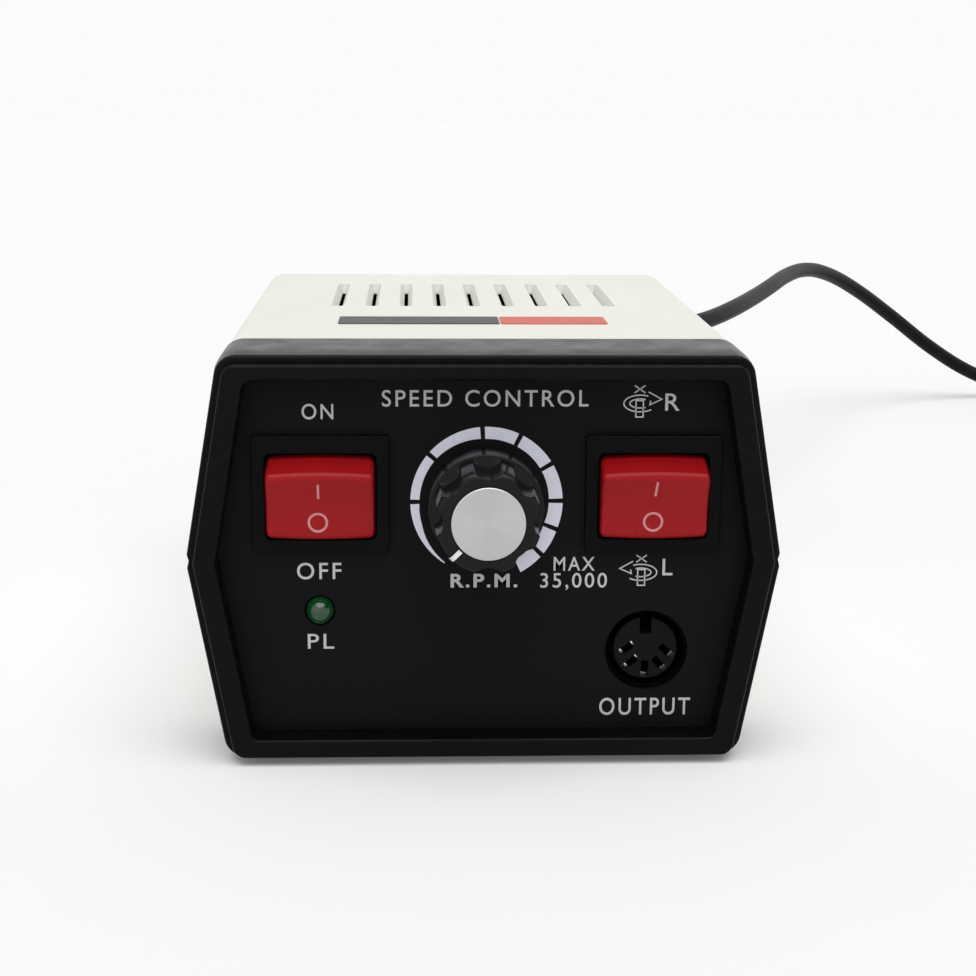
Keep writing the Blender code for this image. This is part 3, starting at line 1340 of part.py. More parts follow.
def coil_points(entry):
    """The turns in order: in along the lower layer, up where the spiral reverses, out along the upper one."""
    centre = entry + Vector((2 * CORD_RADIUS + CLEARANCE, -COIL_RADIUS, 0))
    low = CORD_RADIUS + CORD_LIE
    reverse = (COIL_TURNS - CLIMB_TURNS) / 2
    inner = COIL_RADIUS - COIL_PITCH * reverse
    count = round(COIL_TURNS * COIL_POINTS_A_TURN)
    points = [entry + Vector((CLEARANCE, 0, 0))]
    for i in range(count + 1):
        turn = COIL_TURNS * i / count
        if turn < reverse:
            radius, climb = COIL_RADIUS - COIL_PITCH * turn, 0
        elif turn < reverse + CLIMB_TURNS:
            along = (turn - reverse) / CLIMB_TURNS
            radius, climb = inner - COIL_PITCH * along * (1 - along) / 2, along * along * (3 - 2 * along)
        else:
            radius, climb = inner + COIL_PITCH * (turn - reverse - CLIMB_TURNS), 1
        angle = math.pi / 2 - math.tau * turn
        away = abs((angle - COIL_TIE_ANGLE + math.pi) % math.tau - math.pi) / COIL_LIFT_SPREAD
        lift = COIL_TIE_LIFT * (1 - away * away) ** 2 if away < 1 else 0
        x, y = centre.x + radius * math.cos(angle), centre.y + radius * math.sin(angle)
        points.append(Vector((x, y, low + COIL_PITCH * climb + lift)))
    start = points[-1]
    for step in range(1, COIL_TAIL_STEPS + 1):
        share = step / COIL_TAIL_STEPS
        fall = share * share * (3 - 2 * share)
        points.append(Vector((start.x, start.y - COIL_TAIL * share, start.z + (COIL_END_Z - start.z) * fall)))
    return centre, points


def least_gap(points, diameter, apart):
    """The least clear space between stretches of a tube that lie further than apart along it."""
    least = math.inf
    for i, first in enumerate(points[:-1]):
        for j in range(i + apart, len(points) - 1):
            near = (first + points[i + 1]) / 2 - (points[j] + points[j + 1]) / 2
            least = min(least, near.length, (first - points[j]).length)
    return least - diameter


def length_of(points):
    return sum((second - first).length for first, second in zip(points, points[1:]))


def make_mains_lead():
    route = [(CORD_EXIT_X + x, REAR_PANEL_Y + y, z) for x, y, z in CORD_ROUTE]
    free = spline_points(route, CORD_STEPS)
    part("mains_cord", tube(free, CORD_RADIUS, 2), "cord_rubber")
    centre, turns = coil_points(free[-1])
    part("cord_coil", tube(turns, CORD_RADIUS, 1), "cord_rubber")
    print(f"cord_coil: least gap {1000 * least_gap(turns, 2 * CORD_RADIUS, COIL_POINTS_A_TURN // 2):.2f} mm")
    print(f"mains lead: {length_of(free):.3f} m free, {length_of(turns):.3f} m coiled")
    places = [point - centre for point in turns]
    tied = [place for place in places if abs(place.x) < COIL_RADIUS / 3 and place.y < 0]
    radii = [math.hypot(place.x, place.y) for place in tied]
    inner = min(radii) - CORD_RADIUS - 2 * TIE_SLACK
    outer = max(radii) + CORD_RADIUS + TIE_SLACK
    low = CORD_LIE + TIE_THICKNESS + CLEARANCE
    high = low + 2 * CORD_RADIUS + COIL_PITCH + TIE_SLACK
    middle = (-(inner + outer) / 2, (low - CLEARANCE + high) / 2)
    width, height = outer - inner, high - low + CLEARANCE
    strap = [
        rectangle(middle, width + 2 * TIE_THICKNESS, height + 2 * TIE_THICKNESS, TIE_CORNER + TIE_THICKNESS),
        rectangle(middle, width, height, TIE_CORNER),
    ]
    tie = prism(strap, -TIE_WIDTH / 2, TIE_WIDTH / 2, "X")
    part("cord_tie", tie, "rubber", (centre.x, centre.y, 0))
    return turns[-1]


def make_plug(end):
    """A flat two-pin plug with its moulded relief, pointing away from the coil."""
    place = Vector((end.x, end.y - CLEARANCE, PLUG_THICKNESS / 2 + CORD_LIE))
    rear = -PLUG_RELIEF
    front = rear - PLUG_LENGTH
    half, neck = PLUG_WIDTH / 2, PLUG_NECK_WIDTH / 2
    corners = (
        (neck, rear),
        (half, rear - PLUG_SHOULDER),
        (half, front),
        (-half, front),
        (-half, rear - PLUG_SHOULDER),
        (-neck, rear),
    )
    radii = (PLUG_CORNER, PLUG_SHOULDER / 2, PLUG_CORNER, PLUG_CORNER, PLUG_SHOULDER / 2, PLUG_CORNER)
    outline = rounded(corners, radii, 3)
    block = prism([outline], -PLUG_THICKNESS / 2, PLUG_THICKNESS / 2, "Z")
    body = part("plug_body", block, "cord_rubber", place)
    soften(body, PLUG_ROUND, 2)
    relief = rod(PLUG_RELIEF_TIP, (0, 0, 0), (0, rear - OVERRUN, 0), 16, tip=PLUG_RELIEF_RADIUS)
    join(body, relief, location=place)
    for i, side in enumerate((-1, 1), 1):
        x = side * PIN_SPACING / 2
        hole = rod(PIN_RADIUS + CLEARANCE, (x, front + PIN_SEAT, 0), (x, front - OVERRUN, 0), 16)
        cut(body, hole, location=place)
        root = front + PIN_SEAT - CLEARANCE
        tip = front - PIN_LENGTH
        profile = (
            (0, -tip),
            (PIN_RADIUS - PIN_TIP, -tip),
            (PIN_RADIUS, -tip - PIN_TIP),
            (PIN_RADIUS, -root),
            (0, -root),
        )
        part(f"plug_pin_{i}", turned(profile, "Y", 16), "brass", (place.x + x, place.y, place.z))


def main():
    clear_scene()
    make_bezel()
    make_front_panel()
    make_top_cover()
    make_bottom_case()
    make_rear_panel()
    make_case_screws()
    make_feet()
    make_switch("power", -1, (0, 1))
    make_switch("direction", 1, (-1, 0, 1))
    make_speed_dial()
    make_pilot_lamp()
    make_output_socket()
    make_transformer()
    make_circuit_board()
    make_fuse()
    make_foot_jack()
    make_strain_relief()
    make_plug(make_mains_lead())


main()
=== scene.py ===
"""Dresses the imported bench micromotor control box: its case, controls, back and mains lead, then lights it.

Metres, +Z up, +X to the right seen from the front. The front face looks along -Y, and LIP is the plane
of the bezel's front edge, from which depths into the box are counted.
"""

import math

import bmesh
import bpy
from bpy.props import FloatProperty, FloatVectorProperty, IntProperty, PointerProperty
from mathutils import Matrix, Vector


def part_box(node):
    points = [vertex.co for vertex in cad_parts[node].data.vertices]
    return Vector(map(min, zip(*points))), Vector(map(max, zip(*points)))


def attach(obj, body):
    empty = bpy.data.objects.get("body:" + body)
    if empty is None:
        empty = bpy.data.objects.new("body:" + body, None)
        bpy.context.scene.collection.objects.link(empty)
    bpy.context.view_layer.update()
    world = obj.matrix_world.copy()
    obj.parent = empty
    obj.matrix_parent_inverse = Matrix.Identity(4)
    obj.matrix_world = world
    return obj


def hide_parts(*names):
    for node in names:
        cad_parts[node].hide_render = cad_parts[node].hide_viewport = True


bl_info = {
    "name": "Bench Control Box",
    "version": (1, 0, 0),
    "blender": (4, 5, 0),
    "location": "3D View > Sidebar > Control Box",
    "description": "Builds the visible pieces of a bench micromotor control box round its packed frame",
    "category": "Object",
}

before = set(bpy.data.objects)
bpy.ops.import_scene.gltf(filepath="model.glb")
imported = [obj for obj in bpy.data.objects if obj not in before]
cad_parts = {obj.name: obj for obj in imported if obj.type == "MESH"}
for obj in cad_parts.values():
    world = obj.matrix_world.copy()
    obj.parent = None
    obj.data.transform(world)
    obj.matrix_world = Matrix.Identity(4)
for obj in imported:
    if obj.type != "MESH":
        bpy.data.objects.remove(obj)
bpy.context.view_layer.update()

# Directions that turned pieces point in
TO_FRONT = (0, -1, 0)
TO_BACK = (0, 1, 0)
UPWARDS = (0, 0, 1)

# Clearances, small roundings and how finely curves are divided
GAP = 0.0003
HAIR = 0.00003
FINE_ROUND = 0.00015
THIN_ROUND = 0.0002
SMALL_ROUND = 0.0003
WIDE_ROUND = 0.0004
CURVE_STEPS = 10
CORNER_STEPS = 8
ROUND_STEPS = 6
HOLE_STEPS = 48
BODY_STEPS = 64
TURN_STEPS = 96

# The case's section: a six-sided outline that leans in above and below the parting line
LEAN_SHARE = 0.184
UPPER_LEAN_SHARE = 0.1712
SLANT_SHARE = math.hypot(1, LEAN_SHARE)
CASE_CORNER = 0.0040
COVER_INSET = 0.0002
CASE_WALL = 0.0022
COVER_INNER = COVER_INSET + CASE_WALL
REAR_FLANGE_REACH = 0.0030
REAR_FLANGE_DEPTH = 0.0017
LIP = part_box("front_bezel")[0].y
TOP_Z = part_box("front_bezel")[1].z
BOTTOM_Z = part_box("front_bezel")[0].z
PARTING_Z = (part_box("top_cover")[0].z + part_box("bottom_case")[1].z) / 2
HALF_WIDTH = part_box("bottom_case")[1].x + COVER_INSET * SLANT_SHARE + LEAN_SHARE * GAP / 2
CASE_FRONT_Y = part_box("top_cover")[0].y
CASE_REAR_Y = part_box("top_cover")[1].y
ROOF_Z = TOP_Z - COVER_INNER
FLOOR_Z = BOTTOM_Z + COVER_INNER
HALF_SHARP_ANGLE = 50
REAR_ROUND_STEPS = 5

# Posts in the cover, the screws' sleeves and wells in the base, and the groove under each foot
CORNERS = (1, 2, 3, 4)
POST_RADIUS = 0.0035
POST_STEPS = 24
SLEEVE_RADIUS = 0.0045
SCREW_WELL_RADIUS = 0.0031
WELL_STEPS = 32
FOOT_GROOVE_SHARES = (0.45, 0.5, 0.7, 0.75)

# Front bezel
FACE_INSET = 0.00165
FACE_ROUND = 0.0006
STEP_DEPTH = 0.0020
STEP_LEAN = 0.0001
NOSE_ROUND = 0.0006
NOSE_CROWN = 0.0003
NOSE_LENGTH = 0.0085
NOSE_BOTTOM_SHARE = 0.3
BEZEL_REAR_Y = CASE_FRONT_Y - GAP
SPIGOT_WALL = 0.0016
SPIGOT_LENGTH = 0.0044
BACKING_WALL = 0.0025
RIM_TOP = 0.0043
RIM_BOTTOM = 0.0038
RIM_SIDE = 0.00546
RIM_TOP_CORNER = 0.0020
RIM_BOTTOM_CORNER = 0.0012
NOTCH_HALF = 0.0018
NOTCH_SKEW = 0.8
NOTCH_DEPTH = 0.0010
PANEL_MARGIN = 0.0011
PANEL_FACE_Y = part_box("front_panel")[0].y
PANEL_BACK_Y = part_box("front_panel")[1].y
BACKING_Y = PANEL_BACK_Y + BACKING_WALL
FILM_THICKNESS = 0.00004
PRINT_THICKNESS = 0.00008
PRINT_Y = PANEL_FACE_Y - PRINT_THICKNESS

# Air slots and the plain two-tone plate in front of them
SLOTS = 9
SLOT_PITCH = 0.0069
SLOT_FRONT_Y = LIP + 0.0690
SLOT_REAR_Y = LIP + 0.1090
SLOT_LIP = 0.0002
SLOT_END_SHARE = 0.49
SLIT_WIDTH = 0.0008
PLATE_LEFT_X = -0.0265
PLATE_RIGHT_X = 0.0245
PLATE_SPLIT_X = 0.0040
PLATE_FRONT_Y = LIP + 0.0410
PLATE_REAR_Y = LIP + 0.0510
PLATE_THICKNESS = 0.0002
PLATE_CORNER = 0.0005

# Words on the front plate: left, right, bottom and top
PANEL_WORDS = (
    ("ON", -0.0314, -0.0260, 0.0609, 0.0636),
    ("OFF", -0.0326, -0.0249, 0.0326, 0.0356),
    ("SPEED CONTROL", -0.0177, 0.0177, 0.0631, 0.0660),
    ("R", 0.0309, 0.0334, 0.0624, 0.0654),
    ("L", 0.0312, 0.0330, 0.0331, 0.0361),
    ("R.P.M.", -0.0059, 0.0058, 0.0310, 0.0335),
    ("MAX", 0.0121, 0.0193, 0.0340, 0.0365),
    ("35,000", 0.0098, 0.0215, 0.0305, 0.0336),
    ("PL", -0.0309, -0.0263, 0.0200, 0.0227),
    ("OUTPUT", 0.0206, 0.0368, 0.0074, 0.0106),
)
WORD_WEIGHT = 0.006
BOLD_WEIGHT = 0.028
BOLD_WORDS = ("R.P.M.",)
WORD_TRACKING = 1.22
WORD_DEPTH = 0.01
ICON_WIDTH = 0.0066
ICON_HEIGHT = 0.0056
ICON_STROKE = 0.00022
ICON_STEPS = 24
ICON_X = 0.0270
ICON_HIGH_Z = 0.0641
ICON_LOW_Z = 0.0341

# The printed scale round the dial, with angles in degrees counted from the right, anticlockwise
SCALE_X = 0.0003
SCALE_Z = 0.0464
SCALE_RADIUS = 0.0132
SCALE_GAP = 0.00085
SCALE_SWELL = 0.0008
SCALE_SWELL_START = math.radians(-20)
SCALE_STEP = math.radians(3)
SCALE_THICKNESS = (
    (236.5, 0.0002),
    (226, 0.0005),
    (215, 0.0008),
    (200, 0.0013),
    (180, 0.00158),
    (137, 0.00165),
    (92, 0.0021),
    (45, 0.0022),
    (0, 0.0024),
    (-65, 0.0026),
)
SCALE_ANGLES = (236.5, 180, 140, 93.5, 63.5, 31, 0.7, -22, -44.5, -64.5)
SCALE_MARKS = tuple(math.radians(angle) for angle in SCALE_ANGLES)

# Rocker switches; a mark's place is the bar's x, height and lean, and the ring's x
SWITCHES = ("power", "direction")
SWITCH_LOW, SWITCH_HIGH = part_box("power_switch_body")
SWITCH_FLANGE_WIDTH = SWITCH_HIGH.x - SWITCH_LOW.x
SWITCH_FLANGE_HEIGHT = SWITCH_HIGH.z - SWITCH_LOW.z
SWITCH_FLANGE = 0.0013
SWITCH_FLANGE_CORNER = 0.0006
SWITCH_BODY_INSET = 0.0008
SWITCH_BODY_WIDTH = SWITCH_FLANGE_WIDTH - 2 * SWITCH_BODY_INSET
SWITCH_BODY_HEIGHT = SWITCH_FLANGE_HEIGHT - 2 * SWITCH_BODY_INSET
SWITCH_BODY_LENGTH = 0.0150
SWITCH_SIDE_WALL = 0.0014
SWITCH_END_WALL = 0.0019
SWITCH_FLOOR = 0.0030
SWITCH_MOUTH_DROP = 0.0004
PIVOT_DEPTH = 0.0030
MOUTH_WIDTH = SWITCH_BODY_WIDTH - 2 * SWITCH_SIDE_WALL
MOUTH_HEIGHT = SWITCH_BODY_HEIGHT - 2 * SWITCH_END_WALL
MOUTH_CORNER = 0.0010
ROCKER_SIDE_GAP = 0.0003
ROCKER_SIDE_SHARE = 0.6
ROCKER_HALF_BASE = 0.0069
ROCKER_HALF_FACE = 0.0057
ROCKER_RISE = 0.0062
ROCKER_DISH = 0.0008
ROCKER_DISH_STEPS = 4
ROCKER_KEEL = 0.0035
ROCKER_KEEL_SHARE = 0.7
ROCKER_TILT = math.radians(12)
BAR_MARK_LENGTH = 0.00285
RING_MARK_UP = -0.0029
RING_MARK_RADIUS = 0.00155
RING_MARK_STEPS = 40
MARK_PLACES = {"power": (-0.00025, 0.0029, 0, -0.0004), "direction": (0.0001, 0.0033, 0.09, -0.0002)}
MARK_WIDTH = 0.0004

# Speed dial
BUSH_RADIUS = 0.0040
KNOB_SKIRT_RADIUS = 0.0098
KNOB_SKIRT_HEIGHT = 0.0070
KNOB_SKIRT_WALL = 0.0025
KNOB_SKIRT_ROUND = 0.0007
KNOB_FOOT_RADIUS = 0.0091
KNOB_TOP_RADIUS = 0.0082
KNOB_GAP = 0.0008
KNOB_SKIRT_TOP = KNOB_GAP + KNOB_SKIRT_HEIGHT
KNOB_EDGE = 0.0011
KNOB_EDGE_REACH = KNOB_EDGE * 1.2
KNOB_STEPS = 320
FLUTE_RADIUS = 0.0030
FLUTE_SOFTNESS = 0.00012
CAP_RADIUS = 0.0062
CAP_THICKNESS = 0.0010
CAP_ROUND = 0.00025
POINTER_ANGLE = math.radians(225)
POINTER_WIDTH = 0.0008

# Pilot lamp
LAMP_RADIUS = 0.0024
LAMP_REACH = 0.0024
LAMP_DOME_STEPS = 16
LAMP_LEG_OFFSET = 0.00127
LAMP_LEG_HALF = 0.00025

# Handpiece socket
SOCKET_BORE_RADIUS = 0.0067
SOCKET_SHELL_WALL = 0.0009
SOCKET_FLANGE = 0.0015
SOCKET_HOLE_RADIUS = 0.0073
INSERT_RADIUS = 0.0057
INSERT_SHORTFALL = 0.0030
INSERT_BASE_LENGTH = 0.0057
KEY_WIDTH = 0.0021
KEY_DEPTH = 0.0031
KEY_LENGTH_SHARE = 0.5
CONTACT_CIRCLE = 0.0035
CONTACT_SHIFT = (0.0002, 0, -0.0003)
CONTACT_SLOT_LENGTH = 0.0029
CONTACT_SLOT_WIDTH = 0.0013
CONTACT_SLOT_SHARE = 0.7
CONTACT_ANGLES = (-4, -49, -94, -139, -184)
CONTACT_TURNS = (-44, -49, -94, -139, -144)
LEAF_THICKNESS = 0.00035
LEAF_START = 0.0013
LEAF_END_SHARE = 0.66
TAIL_HALF_WIDTH = 0.0008
TAIL_HALF_THICKNESS = 0.0003
TAIL_LENGTH = 0.0040

# Rear panel, with the fuse holder and the pedal jack in it
REAR_INNER_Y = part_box("rear_panel")[0].y
REAR_OUTER_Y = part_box("rear_panel")[1].y
REAR_PANEL_INSIDE = REAR_INNER_Y - GAP - REAR_OUTER_Y
BORE_RADIUS = 0.0033
BORE_END_WALL = 0.0030
FUSE_HOLE_RADIUS = 0.0063
FUSE_TUBE_RADIUS = 0.0060
FUSE_STEM_RADIUS = 0.0030
FUSE_CAP_SHARES = (0, 0.12, 0.18, 0.5, 0.82, 0.88)
FUSE_CAP_CHAMFER = 0.0006
FUSE_CAP_STEPS = 192
FUSE_SLOT_HALF = 0.0004
KNURL_DEPTH = 0.00018
KNURLS = 24
KNURL_SHARES = (0.15, 0.85)
KNURL_RADIUS_SHARE = 0.95
JACK_HOLE_RADIUS = 0.0049
JACK_BUSH_RADIUS = 0.0046
JACK_NUT_BORE = 0.0047
NUT_SIDES = 6

# Mains lead, in the frame's coordinates from the tip of its relief to the coil
CORD_RADIUS = 0.0024
CORD_ROUTE = tuple(
    (x, y + LIP, z)
    for x, y, z in (
        (0.0385, 0.1493, 0.0492),
        (0.0387, 0.1560, 0.0494),
        (0.0401, 0.1632, 0.0497),
        (0.0432, 0.1702, 0.0501),
        (0.0480, 0.1770, 0.0505),
        (0.0538, 0.1842, 0.0510),
        (0.0611, 0.1940, 0.0516),
        (0.0709, 0.2077, 0.0522),
        (0.0806, 0.2257, 0.0530),
        (0.0907, 0.2487, 0.0537),
        (0.0990, 0.2687, 0.0545),
        (0.1070, 0.2900, 0.0549),
        (0.1164, 0.3117, 0.0547),
        (0.1256, 0.3283, 0.0530),
        (0.1366, 0.3434, 0.0486),
        (0.1494, 0.3563, 0.0412),
        (0.1636, 0.3664, 0.0314),
        (0.1786, 0.3738, 0.0205),
        (0.1938, 0.3786, 0.0112),
        (0.2086, 0.3811, 0.0052),
        (0.2228, 0.3820, 0.0028),
        (0.2357, 0.3820, 0.0025),
    )
)
CORD_STEPS = 160
CORD_LIE = 0.0001
SPAN_STEPS = 24
COIL_TURNS = 6.25
COIL_REVERSE = 0.5
COIL_POINTS_A_TURN = 72
COIL_PITCH = 0.0054
COIL_RADIUS = 0.0370
COIL_TIE_LIFT = 0.0012
COIL_TIE_ANGLE = math.radians(-90)
COIL_LIFT_SPREAD = math.radians(70)
COIL_TAIL = 0.0300
COIL_TAIL_STEPS = 12
TIE_WIDTH = 0.0080
TIE_THICKNESS = 0.0008
TIE_SLACK = 0.0005
TIE_CORNER = 0.0024

# The ribbed reliefs at both ends of the lead, the plug and its pins
RIB_SHAPE = ((0.10, 0), (0.55, 0), (0.62, 1), (0.95, 1))
RIB_GROOVE = 0.0006
RELIEF_RADIUS = 0.0048
RELIEF_TIP_RADIUS = 0.0032
RELIEF_TIP_SHARE = 0.93
RELIEF_NECK_RADIUS = 0.0040
RELIEF_HEAD_RADIUS = 0.0052
RELIEF_HEAD = 0.0025
RELIEF_RIBS = 7
RELIEF_SPARE_RIBS = 0.6
PLUG_THICKNESS = 0.0137
PLUG_NECK_WIDTH = 0.0120
PLUG_SHOULDER = 0.0140
PLUG_CORNER = 0.0035
PLUG_ROUND = 0.0018
PLUG_RELIEF = 0.0200
PLUG_RELIEF_RADIUS = 0.0045
PLUG_RELIEF_TIP = 0.0032
PLUG_RELIEF_TIP_SHARE = 0.95
PLUG_RIBS = 6
PLUG_SPARE_RIBS = 0.5
PIN_TIP_SHARE = 0.55
PIN_TIP_LENGTH_SHARE = 0.6

# The camera's place and turn, fitted to the case's edges in the photograph
CAMERA_PLACE = (-0.01238, LIP - 0.31233, 0.11948)
CAMERA_YAW = math.radians(2.329)
CAMERA_PITCH = math.radians(12.535)
CAMERA_ROLL = math.radians(0.401)
CAMERA_SENSOR = 36.0

# The two lights, the floor, and the strength of what the camera sees of floor and backdrop
KEY_PLACE = (0.05, -0.38, 0.90)
FILL_PLACE = (-0.55, -0.95, 0.60)
LIGHT_SPREAD = math.radians(60)
BACKDROP_STRENGTH = 0.965
FLOOR_GLOW = 0.087
FLOOR_REACH = 4.0
FLOOR_GREY = (0.90, 0.90, 0.90)
FLOOR_DARKER = (0.895, 0.895, 0.895)
FLOOR_LIGHTER = (0.905, 0.905, 0.905)
WHITE = (1, 1, 1, 1)

# The noise in the finishes, and what makes the lamp's lens look clear
GRAIN_ROUGHNESS = 0.55
NOISE_MIDDLE = (0.3, 0.7)
LENS_SOCKETS = {"Transmission_Weight": 0.35, "Coat_Weight": 0.35, "Coat_Roughness": 0.06}

# Settings


def colour_setting(name, description, default):
    """A colour that the user can change."""
    return FloatVectorProperty(
        name=name, description=description, subtype="COLOR", size=3, min=0, max=1, default=default
    )


def length_setting(name, description, low, high, default):
    """A length that the user can change between two limits."""
    return FloatProperty(
        name=name, description=description, unit="LENGTH", min=low, max=high, default=default
    )


def strength_setting(name, description, high, default):
    """A light's strength that the user can change, up to a limit."""
    return FloatProperty(name=name, description=description, min=0, max=high, default=default)


class CaseSettings(bpy.types.PropertyGroup):
    shell_colour: colour_setting("Shell colour", "Colour of the two case halves", (0.84, 0.84, 0.77))
    bezel_colour: colour_setting(
        "Bezel colour", "Colour of the black bezel, rear panel and switch bodies", (0.003, 0.003, 0.003)
    )
    slot_width: length_setting("Slot width", "Width of each air slot in the top", 0.001, 0.005, 0.0025)
    rear_round: length_setting(
        "Rear rounding", "Radius of the edge round the back of the case", 0.0002, 0.002, 0.0010
    )
    rim_round: length_setting(
        "Recess edge", "Radius of the edge between the bezel's face and its recess", 0.0001, 0.001, 0.0005
    )


class PanelSettings(bpy.types.PropertyGroup):
    plate_colour: colour_setting("Plate colour", "Colour of the front plate", (0.006, 0.006, 0.007))
    print_colour: colour_setting("Print colour", "Colour of the printed words", (0.54, 0.54, 0.56))
    scale_colour: colour_setting("Scale colour", "Colour of the scale round the dial", (0.74, 0.75, 0.86))


class SwitchSettings(bpy.types.PropertyGroup):
    rocker_colour: colour_setting("Rocker colour", "Colour of the two rockers", (0.34, 0.006, 0.009))
    mark_colour: colour_setting("Mark colour", "Colour of each rocker's bar and ring", (0.62, 0.25, 0.27))
    rocker_round: length_setting("Rocker rounding", "Radius of the rocker's edges", 0.0002, 0.0015, 0.0012)
    rocker_crown: length_setting(
        "Rocker crown", "How far the rocker's ends bow out in the middle", 0, 0.0006, 0.0004
    )


class DialSettings(bpy.types.PropertyGroup):
    knob_colour: colour_setting("Knob colour", "Colour of the fluted knob", (0.004, 0.004, 0.004))
    cap_colour: colour_setting("Cap colour", "Colour of the spun metal cap", (0.54, 0.54, 0.53))
    flutes: IntProperty(name="Flutes", description="Hollows round the knob", min=4, max=16, default=8)
    flute_depth: length_setting(
        "Flute depth", "How deep each hollow cuts into the knob", 0.0002, 0.0020, 0.0014
    )


class FittingSettings(bpy.types.PropertyGroup):
    lens_colour: colour_setting("Lamp colour", "Colour of the pilot lamp's lens", (0.006, 0.085, 0.022))
    insert_colour: colour_setting(
        "Socket colour", "Colour of the socket's insulating insert", (0.006, 0.006, 0.007)
    )
    lead_colour: colour_setting("Lead colour", "Colour of the mains lead and its plug", (0.007, 0.007, 0.007))


class StageSettings(bpy.types.PropertyGroup):
    lens: FloatProperty(
        name="Lens", description="Focal length in millimetres", min=20, max=200, default=69.46
    )
    key_power: strength_setting(
        "Key power", "Strength in watts a square metre of the broad light above the front", 10, 1.80
    )
    fill_power: strength_setting(
        "Fill power", "Strength in watts a square metre of the soft light at the front left", 10, 0.20
    )
    sky: strength_setting("Sky", "Strength of the even light from all round", 2, 0.42)


class ControlBoxSettings(bpy.types.PropertyGroup):
    case: PointerProperty(type=CaseSettings)
    panel: PointerProperty(type=PanelSettings)
    switch: PointerProperty(type=SwitchSettings)
    dial: PointerProperty(type=DialSettings)
    fitting: PointerProperty(type=FittingSettings)
    stage: PointerProperty(type=StageSettings)


# Materials


def new_finish(name, colour, roughness, metallic=0.0, **sockets):
    """A material and its shader, with plain values on the sockets that stay the same all over."""
    finish = bpy.data.materials.new(name)
    finish.use_nodes = True
    shader = finish.node_tree.nodes["Principled BSDF"]
    shader.inputs["Base Color"].default_value = (*colour, 1)
    shader.inputs["Roughness"].default_value = roughness
    shader.inputs["Metallic"].default_value = metallic
    for socket, value in sockets.items():
        shader.inputs[socket.replace("_", " ")].default_value = value
    return finish, finish.node_tree, shader


def add_node(tree, kind, settings=None, **inputs):
    """A node of this kind with its settings made and its inputs linked or given a value."""
    made = tree.nodes.new(kind)
    for name, value in (settings or {}).items():
        setattr(made, name, value)
    for name, value in inputs.items():
        socket = made.inputs[name.replace("_", " ")]
        if isinstance(value, bpy.types.NodeSocket):
            tree.links.new(value, socket)
        else:
            socket.default_value = value
    return made


def worked_out(tree, operation, *values):
    """The outcome of one step of arithmetic on these sockets."""
    step = add_node(tree, "ShaderNodeMath", {"operation": operation})
    for value, socket in zip(values, step.inputs):
        tree.links.new(value, socket)
    return step.outputs[0]


def mixed(tree, factor, first, second):
    """The first shader where the factor is 0, and the second where it is 1."""
    mix = add_node(tree, "ShaderNodeMixShader", Fac=factor)
    tree.links.new(first.outputs[0], mix.inputs[1])
    tree.links.new(second.outputs[0], mix.inputs[2])
    return mix.outputs[0]


def place_of(tree, centre=(0, 0, 0), stretch=(1, 1, 1)):
    """The point on the piece, counted from centre and scaled along each axis."""
    where = add_node(tree, "ShaderNodeTexCoord").outputs["Object"]
    from_centre = add_node(tree, "ShaderNodeVectorMath", {"operation": "SUBTRACT"})
    tree.links.new(where, from_centre.inputs[0])
    from_centre.inputs[1].default_value = centre
    return add_node(tree, "ShaderNodeMapping", Vector=from_centre.outputs[0], Scale=stretch).outputs[0]


def grain(tree, size, detail, stretch=(1, 1, 1)):
    """A noise between 0 and 1 whose features are about this size."""
    place = place_of(tree, stretch=stretch)
    noise = add_node(
        tree, "ShaderNodeTexNoise", Vector=place, Scale=1 / size, Detail=detail, Roughness=GRAIN_ROUGHNESS
    )
    return noise.outputs["Fac"]


def spread(tree, factor, low, high):
    """The middle of a noise's range drawn out to low and high."""
    start, end = NOISE_MIDDLE
    mapped = add_node(
        tree, "ShaderNodeMapRange", Value=factor, From_Min=start, From_Max=end, To_Min=low, To_Max=high
    )
    return mapped.outputs[0]


def toned(tree, shader, factor, *tones):
    """Base colour that runs through these tones as the factor goes from 0 to 1."""
    ramp = add_node(tree, "ShaderNodeValToRGB", Fac=factor)
    steps = ramp.color_ramp.elements
    for step in range(len(tones) - 2):
        steps.new((step + 1) / (len(tones) - 1))
    for element, tone in zip(steps, tones):
        element.color = (*tone, 1)
    tree.links.new(ramp.outputs["Color"], shader.inputs["Base Color"])


def shade(colour, share):
    """A colour made darker or lighter, at most white."""
    return tuple(min(1.0, value * share) for value in colour)


def shaded(tree, shader, factor, colour, *shares):
    """Base colour that runs through these shares of a colour as the factor goes from 0 to 1."""
    toned(tree, shader, factor, *[shade(colour, share) for share in shares])


def roughened(tree, shader, factor, low, high):
    tree.links.new(spread(tree, factor, low, high), shader.inputs["Roughness"])


def bumped(tree, shader, *layers):
    """Bump from pairs of a factor and its height in metres."""
    normal = None
    for factor, height in layers:
        bump = add_node(tree, "ShaderNodeBump", Height=factor, Distance=height, Strength=1.0)
        if normal is not None:
            tree.links.new(normal, bump.inputs["Normal"])
        normal = bump.outputs["Normal"]
    tree.links.new(normal, shader.inputs["Normal"])


def moulded_plastic(name, colour, roughness, grain_size, grain_height, shine):
    """Plastic from a spark-eroded mould: a fine even grain, faint flow marks and slightly worn gloss."""
    finish, tree, shader = new_finish(name, colour, roughness, Specular_IOR_Level=shine)
    fine = grain(tree, grain_size, detail=3.0)
    flow = grain(tree, 0.030, detail=2.0, stretch=(1, 0.4, 1))
    worn = grain(tree, 0.006, detail=4.0)
    shaded(tree, shader, flow, colour, 0.93, 1, 1.05)
    roughened(tree, shader, worn, roughness - 0.05, roughness + 0.06)
    bumped(tree, shader, (flow, grain_height / 4), (fine, grain_height))
    return finish


